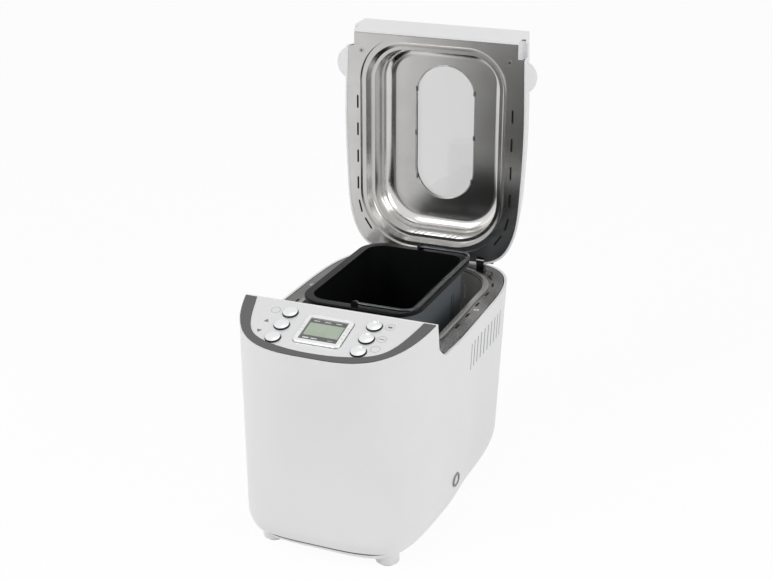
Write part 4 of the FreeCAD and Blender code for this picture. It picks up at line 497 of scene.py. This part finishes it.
def makeDisplay():
    # the dark mask of the display, its plain white bars, and the ticks on the bezel
    wide, deep, mid = display["halfWide"], display["halfDeep"], display["middle"]
    topBand, bottomBand, edge = display["topBand"], display["bottomBand"], display["edge"]
    low, high = display["lensTop"] - display["sink"], display["lensTop"] + display["proud"]
    mask = bmesh.new()
    bands = [(0, mid - deep + topBand / 2, wide, topBand / 2),
             (0, mid + deep - bottomBand / 2, wide, bottomBand / 2)]
    bands += [(side * (wide - edge / 2), mid + (topBand - bottomBand) / 2, edge / 2,
               deep - (topBand + bottomBand) / 2) for side in (-1, 1)]
    for band in bands:
        addPlate(mask, roundedBar(*band, display["corner"], steps=2), low, high, onPanel)
    addPiece("display_mask", mask, "printedDisplayMask", "machine_body")
    bars = bmesh.new()
    outlines = [roundedBar(u, mid - deep + display["topRow"], halfU, display["topHalf"],
                           display["topCorner"]) for u, halfU in display["topBars"]]
    outlines += [roundedBar(u, mid + deep - display["bottomRow"], halfU, halfV,
                            display["bottomCorner"]) for u, halfU, halfV in display["bottomBars"]]
    for outline in outlines:
        addPlate(bars, outline, high - display["barSink"], high + display["barProud"], onPanel)
    addPiece("display_bars", bars, "whitePrintedInk", "machine_body")
    ticks = bmesh.new()
    for side, rows in display["ticks"].items():
        for row in rows:
            addPlate(ticks, roundedBar(side * display["tickOut"], mid + row, *display["tickHalf"],
                                       display["tickCorner"]),
                     display["bezelTop"] - display["sink"],
                     display["bezelTop"] + display["proud"], onPanel)
    addPiece("bezel_ticks", ticks, "palePrintedInk", "machine_body")


panelGaps = {"columns": (-51.5, 51.5), "rows": (18.8, 42, 65.2), "keyRadius": 9.5, "keyGap": 0.85,
             "bezelWide": 28.6, "bezelDeep": 24.6, "bezelCorner": 6.0, "bezelGap": 0.5,
             "sink": 0.3, "proud": 0.06}


def makePanelGapShade():
    # dark rings painted round the keys and the bezel: painted shade in their clearances
    gaps = bmesh.new()
    low, high = -panelGaps["sink"], panelGaps["proud"]
    for across in panelGaps["columns"]:
        for down in panelGaps["rows"]:
            addRing(gaps, (across, down), panelGaps["keyRadius"], panelGaps["keyGap"], low, high,
                    onPanel)
    outer, inner = (roundedBar(0, display["middle"], panelGaps["bezelWide"] + gap,
                               panelGaps["bezelDeep"] + gap, panelGaps["bezelCorner"] + gap)
                    for gap in (panelGaps["bezelGap"], 0))
    addFrame(gaps, outer, inner, low, high, onPanel)
    addPiece("panel_gap_shade", gaps, "clipNylonAndGapShade", "machine_body")


screwCross = {"deck": [(-109.4, 29.5), (109.4, 29.5), (-83, 153.4), (83, 153.4)], "deckZ": 248.0,
              "lid": [(-98.9, 521.0), (98.9, 521.0)], "lidY": 165.5, "half": 2.1, "width": 0.5,
              "corner": 0.3, "sink": 0.2, "proud": 0.06}


def makeScrewCrossShade():
    # dark crosses painted on the screw heads: painted shade in their cross recesses
    half, width = screwCross["half"], screwCross["width"]
    for name, body, middles, place in (
            ("deck_screw_cross_shade", "machine_body", screwCross["deck"],
             onLevel(screwCross["deckZ"])),
            ("lid_screw_cross_shade", "lid", screwCross["lid"], onLidFace(screwCross["lidY"]))):
        crosses = bmesh.new()
        for u, v in middles:
            for halfU, halfV in ((half, width), (width, half)):
                addPlate(crosses, roundedBar(u, v, halfU, halfV, screwCross["corner"], steps=3),
                         -screwCross["sink"], screwCross["proud"], place)
        addPiece(name, crosses, "clipNylonAndGapShade", body)


sideVents = {"firstY": -19.6, "pitch": 12.5, "count": 10, "low": 191.5, "high": 225.5,
             "halfWide": 1.5, "corner": 1.0, "beside": 2.2, "outsideX": 200.0, "sink": 0.6,
             "proud": 0.04}


def makeVentShade():
    # the shaded mouths of the side vents, bridged between the wall's surface on both sides of each
    shade = bmesh.new()
    middle = (sideVents["low"] + sideVents["high"]) / 2
    half = (sideVents["high"] - sideVents["low"]) / 2
    beside = sideVents["beside"]
    for side in (-1, 1):
        for index in range(sideVents["count"]):
            y = sideVents["firstY"] + index * sideVents["pitch"]

            def onSide(u, v, h):
                wall = [onHousing((side * sideVents["outsideX"], y + way * beside, v),
                                  (-side, 0, 0), h) for way in (-1, 1)]
                return wall[0].lerp(wall[1], (u - y + beside) / (2 * beside))

            outline = roundedBar(y, middle, sideVents["halfWide"], half, sideVents["corner"])
            addPlate(shade, outline, -sideVents["sink"], sideVents["proud"], onSide)
    addPiece("side_vent_shade", shade, "greyMouldedAbs", "machine_body")


baseLine = {"left": -66.0, "right": 82.0, "steps": 74, "z": 25.0, "rise": 0.016, "tall": 2.6,
            "taper": 16.0, "thinnest": 0.1, "outsideY": -400.0, "sink": 0.4, "proud": 0.08}


def makeBaseSeamShade():
    # a dark ribbon under the front wall, tapered at both ends: the base seam, drawn with painted
    # shade from the wall's lower edge
    ribbon = bmesh.new()
    left, right = baseLine["left"], baseLine["right"]
    out, into = baseLine["proud"], -baseLine["sink"]
    rows = []
    for i in range(baseLine["steps"] + 1):
        x = left + (right - left) * i / baseLine["steps"]
        fade = min(1, (x - left) / baseLine["taper"], (right - x) / baseLine["taper"])
        half = baseLine["tall"] / 2 * max(fade, baseLine["thinnest"])
        middle = baseLine["z"] + baseLine["rise"] * max(x, 0)
        rows.append([ribbon.verts.new(onHousing((x, baseLine["outsideY"], middle + way * half),
                                                (0, 1, 0), proud))
                     for way, proud in ((-1, out), (1, out), (1, into), (-1, into))])
    joinRows(ribbon, rows)
    ribbon.faces.new(rows[0][::-1])
    ribbon.faces.new(rows[-1])
    addPiece("base_seam_shade", ribbon, "clipNylonAndGapShade", "machine_body")


window = {"middleZ": 411.0, "halfWide": 40.0, "straight": 49.0, "faceY": 210.0, "arcSteps": 32,
          "clipHeights": (-62, -3, 56), "clipHalf": (1.4, 3.25), "clipCorner": 0.6,
          "clipSink": 1.2, "clipProud": 0.5,
          "rimProfile": [(0.6, -1.0), (0.6, 0.35), (0.1, 0.6), (-0.8, 0.35), (-0.8, -0.2)]}


def makeWindowEdge():
    # the dark clips and the thin turned rim round the window's opening
    place = onLidFace(window["faceY"])
    clips = bmesh.new()
    for side in (-1, 1):
        for height in window["clipHeights"]:
            lean = max(abs(height) - window["straight"], 0)
            x = side * math.sqrt(window["halfWide"] ** 2 - lean ** 2)
            addPlate(clips, roundedBar(x, window["middleZ"] + height, *window["clipHalf"],
                                       window["clipCorner"]),
                     -window["clipSink"], window["clipProud"], place)
    addPiece("window_clips", clips, "clipNylonAndGapShade", "lid")
    rim = bmesh.new()
    outline = []
    for centre, start in ((window["straight"], 0), (-window["straight"], 180)):
        for i in range(window["arcSteps"] + 1):
            angle = math.radians(start + 180 * i / window["arcSteps"])
            outline.append((math.cos(angle), window["middleZ"] + centre, math.sin(angle)))
    rows = []
    for inset, height in window["rimProfile"]:
        r = window["halfWide"] - inset
        rows.append([rim.verts.new(place(c * r, mid + s * r, height)) for c, mid, s in outline])
    joinRows(rim, rows)
    for face in rim.faces:
        face.smooth = True
    addPiece("window_rim", rim, "turnedScrewSteel", "lid")


strokes = {"groups": (-22.0, 22.0), "pitch": 6.5, "halfLong": 5.0, "halfWide": 0.8, "corner": 0.7,
           "lean": 0.35, "dash": (9.0, 0.4, 0.3), "y": 181.0, "z": 280.8, "sink": 0.4,
           "proud": 0.5}


def makeDomeStrokes():
    # two groups of leaning strokes and a dash pressed in the lower wall of the lid's dome
    bars = bmesh.new()
    bar = roundedBar(0, 0, strokes["halfWide"], strokes["halfLong"], strokes["corner"])
    outlines = [[(middle + step * strokes["pitch"] + u + v * strokes["lean"], strokes["y"] + v)
                 for u, v in bar] for middle in strokes["groups"] for step in (-1, 0, 1)]
    outlines.append(roundedBar(0, strokes["y"], *strokes["dash"]))
    for outline in outlines:
        addPlate(bars, outline, -strokes["sink"], strokes["proud"], onLevel(strokes["z"]))
    addPiece("dome_strokes", bars, "turnedScrewSteel", "lid")


lidSlots = {"x": 104.6, "z": (453.7, 417.2, 380.7, 344.2),
            "corners": [(101.5, 312.2, -14), (90.4, 289.2, -34)], "halfWide": 1.2,
            "halfLong": 8.6, "corner": 1.1, "y": 166.0, "sink": 0.5, "proud": 0.05}


def makeLidSlotShade():
    # dark plates on the lid's steel flange over the pressed slots: painted shade in the slots'
    # openings
    mouths = bmesh.new()
    places = [(lidSlots["x"], z, 0) for z in lidSlots["z"]] + lidSlots["corners"]
    for side in (-1, 1):
        for x, z, turn in places:
            addPlate(mouths, slotOutline(side, x, z, turn, lidSlots), -lidSlots["sink"],
                     lidSlots["proud"], onLidFace(lidSlots["y"]))
    addPiece("lid_slot_shade", mouths, "matteBlackPaintedShade", "lid")


panRibs = {"y": (66.0, 73.5), "low": 122.0, "high": 246.0, "halfWide": 0.6, "corner": 0.5,
           "wallX": 62.05, "wallZ": 125.0, "draft": 0.01972, "sink": 0.3, "proud": 0.5}


def makePanRibs():
    # the pairs of thin ribs pressed in the long walls of the pan
    ribs = bmesh.new()
    middle, half = (panRibs["low"] + panRibs["high"]) / 2, (panRibs["high"] - panRibs["low"]) / 2
    for side in (-1, 1):

        def onWall(u, v, h):
            wallX = panRibs["wallX"] + panRibs["draft"] * (v - panRibs["wallZ"])
            return Vector((side * (wallX + h), u, v)) * mm

        for y in panRibs["y"]:
            addPlate(ribs, roundedBar(y, middle, panRibs["halfWide"], half, panRibs["corner"]),
                     -panRibs["sink"], panRibs["proud"], onWall)
    addPiece("pan_ribs", ribs, "sprayedNonStickCoat", "pan")


ovenSlots = {"centre": (28.5, 91.9), "radius": 72.0, "insetTop": 8.0, "insetFloor": 14.0,
             "deckZ": 247.5, "floorZ": 80.0, "wall": 0.8, "gap": 0.3, "thick": 0.6, "x": 53.5,
             "halfWide": 3.2, "corner": 1.2, "spans": [(207.5, 234), (176.5, 203)]}


def makeSlotLightBacking():
    # white plates behind the slots in the rear corners of the oven's tapering wall: painted light
    # standing for the light seen through the slots
    backing = bmesh.new()
    centreX, centreY = ovenSlots["centre"]
    taper = ((ovenSlots["insetFloor"] - ovenSlots["insetTop"])
             / (ovenSlots["deckZ"] - ovenSlots["floorZ"]))
    for side in (-1, 1):

        def behindWall(u, v, h):
            inset = ovenSlots["insetTop"] + (ovenSlots["deckZ"] - v) * taper
            inner = ovenSlots["radius"] - inset
            angle = math.asin((ovenSlots["x"] - centreX) / inner) + u / inner
            r = inner + ovenSlots["wall"] + ovenSlots["gap"] + h
            return Vector((side * (centreX + r * math.sin(angle)),
                           centreY + r * math.cos(angle), v)) * mm

        for low, high in ovenSlots["spans"]:
            outline = roundedBar(0, (low + high) / 2, ovenSlots["halfWide"], (high - low) / 2,
                                 ovenSlots["corner"])
            addPlate(backing, outline, 0, ovenSlots["thick"], behindWall)
    addPiece("slot_light_backing", backing, "whiteMouldedAbs", "machine_body")


lidPocket = {"inner": 108.4, "outer": 112.6, "low": 524.6, "high": 545.0, "mouthY": 166.9,
             "roofY": 184.4, "wall": 0.8, "overlap": 0.2, "roofCorner": 0.7, "wallCorner": 0.3}


def makeLidPockets():
    # the moulded corner pockets that clear the housing's cheeks when the lid is shut
    pockets = bmesh.new()
    wall = lidPocket["wall"]
    deep = lidPocket["roofY"] - lidPocket["mouthY"]
    wide = (lidPocket["outer"] - lidPocket["inner"]) / 2
    tall = (lidPocket["high"] - lidPocket["low"]) / 2
    midU, midV = lidPocket["inner"] + wide, lidPocket["low"] + tall
    roof = roundedBar(midU, midV, wide + wall, tall + wall, lidPocket["roofCorner"], steps=3)
    inside = roundedBar(lidPocket["inner"], midV, wall / 2, tall + wall, lidPocket["wallCorner"],
                        steps=2)
    under = roundedBar(midU, lidPocket["low"], wide + wall, wall / 2, lidPocket["wallCorner"],
                       steps=2)
    for side in (-1, 1):

        def inPocket(u, v, h):
            return Vector((side * u, lidPocket["mouthY"] + h, v)) * mm

        addPlate(pockets, roof, deep, deep + wall, inPocket)
        for outline in (inside, under):
            addPlate(pockets, outline, 0, deep + lidPocket["overlap"], inPocket)
    addPiece("lid_pockets", pockets, "whiteMouldedAbs", "lid")


deckSlots = {"x": 104.6, "firstY": -25.5, "pitch": 36.5, "count": 4,
             "corners": [(101.5, 116, 14), (90.4, 139, 34)], "halfWide": 1.3, "halfLong": 6.2,
             "corner": 0.9, "z": 247.5, "sink": 0.4, "proud": 0.05}


def makeSlotShade():
    # the dark air gaps seen through the slots of the deck
    shade = bmesh.new()
    places = [(deckSlots["x"], deckSlots["firstY"] + i * deckSlots["pitch"], 0)
              for i in range(deckSlots["count"])] + deckSlots["corners"]
    for side in (-1, 1):
        for x, y, turn in places:
            addPlate(shade, slotOutline(side, x, y, turn, deckSlots), -deckSlots["sink"],
                     deckSlots["proud"], onLevel(deckSlots["z"]))
    addPiece("deck_slot_shade", shade, "matteBlackPaintedShade", "machine_body")


deckEdge = {"z": 247.5, "skin": 0.1, "frontY": -70.0, "wide": 0.9, "sink": 0.3, "proud": 0.06}


def makeDeckEdgeShade():
    # a dark strip along the steel deck's edge, behind the control head: painted shade in the gap
    # between the deck and the white wall round it
    corners = [vertex.co.xy / mm for vertex in nodes["top_deck"].data.vertices
               if vertex.co.z / mm > deckEdge["z"] - deckEdge["skin"]]
    rim = [corners[i] for i in convex_hull_2d(corners)]
    front = deckEdge["frontY"]
    start = max(range(len(rim)), key=lambda i: rim[i - 1].y < front <= rim[i].y)
    rim = [point for point in rim[start:] + rim[:start] if point.y >= front]
    inner = []
    for i, point in enumerate(rim):
        along = rim[min(i + 1, len(rim) - 1)] - rim[max(i - 1, 0)]
        inner.append(point + Vector((-along.y, along.x)).normalized() * deckEdge["wide"])
    line = bmesh.new()
    addPlate(line, [tuple(point) for point in rim + inner[::-1]], -deckEdge["sink"],
             deckEdge["proud"], onLevel(deckEdge["z"]))
    addPiece("deck_edge_shade", line, "matteBlackPaintedShade", "machine_body")


makeKeyMarks()
makeDisplay()
makePanelGapShade()
makeScrewCrossShade()
print("panel marks, display and screw crosses made")
makeVentShade()
makeBaseSeamShade()
makeWindowEdge()
makeDomeStrokes()
makeLidSlotShade()
makePanRibs()
makeSlotLightBacking()
makeLidPockets()
makeSlotShade()
makeDeckEdgeShade()
print("vents, window edge, dome strokes, ribs, pockets and slots made")


studio = {"floorHalf": 9.0, "floorColour": "#F4F4F4", "floorGlow": 0.95, "ambient": 0.45}


def seenDirectly(tree):
    # 1 for what is seen straight, in metal or through glass, 0 for the light that falls on things
    path = addNode(tree, "LightPath")
    first = addNode(tree, "Math", {"operation": "MAXIMUM"},
                    {0: path.outputs["Is Camera Ray"], 1: path.outputs["Is Glossy Ray"]})
    either = addNode(tree, "Math", {"operation": "MAXIMUM"},
                     {0: first.outputs["Value"], 1: path.outputs["Is Transmission Ray"]})
    return either.outputs["Value"]


def addStage(name, corners, material):
    mesh = bpy.data.meshes.new(name)
    mesh.from_pydata(corners, [], [(0, 1, 2, 3)])
    mesh.materials.append(material)
    piece = bpy.data.objects.new(name, mesh)
    bpy.context.scene.collection.objects.link(piece)
    return piece


def makeStage():
    # a white room whose floor keeps the object's shadow
    world = bpy.data.worlds.new("paleStudio")
    bpy.context.scene.world = world
    world.use_nodes = True
    tree = world.node_tree
    tree.nodes.clear()
    level = addNode(tree, "MapRange", {"To Min": studio["ambient"], "To Max": 1.0},
                    {"Value": seenDirectly(tree)})
    sky = addNode(tree, "Background", {"Color": (1, 1, 1, 1)},
                  {"Strength": level.outputs["Result"]})
    addNode(tree, "OutputWorld", {}, {"Surface": sky.outputs["Background"]})

    material, tree = newMaterial("paleStudioFloor")
    part = addNode(tree, "MapRange", {"To Min": 0.0, "To Max": studio["floorGlow"]},
                   {"Value": seenDirectly(tree)})
    paint = addNode(tree, "BsdfDiffuse", {"Color": linear(studio["floorColour"])})
    glow = addNode(tree, "Emission", {"Color": (1, 1, 1, 1), "Strength": 1.0})
    both = addNode(tree, "MixShader", {}, {"Fac": part.outputs["Result"], 1: paint.outputs["BSDF"],
                                           2: glow.outputs["Emission"]})
    addNode(tree, "OutputMaterial", {}, {"Surface": both.outputs["Shader"]})
    half = studio["floorHalf"]
    floor = addStage("studio_floor", [(-half, -half, 0), (half, -half, 0), (half, half, 0),
                                      (-half, half, 0)], material)


# the card's pale part ends along a slant, given as millimetres aside for each millimetre back
studioCard = {"corners": [(-420, -420), (-1420, -3100), (1100, -3100), (420, -420)], "z": 1.5,
              "slant": 0.3726, "edge": (-180, 60), "span": (-500, -2600), "pale": 0.9,
              "near": 0.005, "far": 0.11}


def makeCard():
    # a dark card on the floor in front that only polished metal sees, as studios use to shape steel
    material, tree = newMaterial("darkStudioCard")
    coords = addNode(tree, "TexCoord")
    place = addNode(tree, "SeparateXYZ", {}, {"Vector": coords.outputs["Object"]})
    slant = addNode(tree, "Math", {"operation": "MULTIPLY", 1: -studioCard["slant"]},
                    {0: place.outputs["Y"]})
    aside = addNode(tree, "Math", {"operation": "ADD"},
                    {0: place.outputs["X"], 1: slant.outputs["Value"]})
    far = addNode(tree, "MapRange", {"From Min": studioCard["span"][0] * mm,
                                     "From Max": studioCard["span"][1] * mm,
                                     "To Min": studioCard["near"], "To Max": studioCard["far"]},
                  {"Value": place.outputs["Y"]})
    tone = addNode(tree, "MapRange", {"From Min": studioCard["edge"][0] * mm,
                                      "From Max": studioCard["edge"][1] * mm,
                                      "To Min": studioCard["pale"]},
                   {"Value": aside.outputs["Value"], "To Max": far.outputs["Result"]})
    glow = addNode(tree, "Emission", {"Color": (1, 1, 1, 1)}, {"Strength": tone.outputs["Result"]})
    addNode(tree, "OutputMaterial", {}, {"Surface": glow.outputs["Emission"]})
    card = addStage("studio_card", [(x * mm, y * mm, studioCard["z"] * mm)
                                    for x, y in studioCard["corners"]], material)
    card.visible_camera = False
    card.visible_diffuse = False
    card.visible_transmission = False
    card.visible_shadow = False


softboxes = {
    "keySoftbox": {"place": (-1.1, -1.5, 1.7), "aim": (0, 0, 0.25), "size": 1.1, "watts": 20},
    "rightSoftbox": {"place": (1.7, -0.5, 1.1), "aim": (0, 0, 0.25), "size": 1.0, "watts": 11},
    "topSoftbox": {"place": (0.1, 0.1, 2.2), "aim": (0, 0, 0.25), "size": 1.2, "watts": 3},
}


def makeLights():
    # soft square lamps at a plain level, so that colours render about as written
    for name, values in softboxes.items():
        lamp = bpy.data.lights.new(name, "AREA")
        lamp.shape = "SQUARE"
        lamp.size = values["size"]
        lamp.energy = values["watts"]
        box = bpy.data.objects.new(name, lamp)
        box.location = values["place"]
        aim = Vector(values["aim"]) - Vector(values["place"])
        box.rotation_euler = aim.to_track_quat("-Z", "Y").to_euler()
        bpy.context.scene.collection.objects.link(box)


photoCamera = {"place": (0.60131, -1.44767, 0.89464), "azimuth": 22.44, "elevation": 21.763,
               "focalPixels": 1390.95, "framePixels": 772, "sensorMm": 36, "clipEnd": 50}


def makeCamera():
    # the camera that was fitted to the photo
    lens = bpy.data.cameras.new("photoCamera")
    lens.sensor_width = photoCamera["sensorMm"]
    lens.lens = photoCamera["focalPixels"] * photoCamera["sensorMm"] / photoCamera["framePixels"]
    lens.clip_end = photoCamera["clipEnd"]
    camera = bpy.data.objects.new("photoCamera", lens)
    camera.location = photoCamera["place"]
    camera.rotation_euler = (math.pi / 2 - math.radians(photoCamera["elevation"]), 0,
                             math.radians(photoCamera["azimuth"]))
    bpy.context.scene.collection.objects.link(camera)
    bpy.context.scene.camera = camera


makeStage()
makeCard()
makeLights()
makeCamera()
bpy.context.scene.view_settings.view_transform = "Standard"
print("stage, lights and camera set")
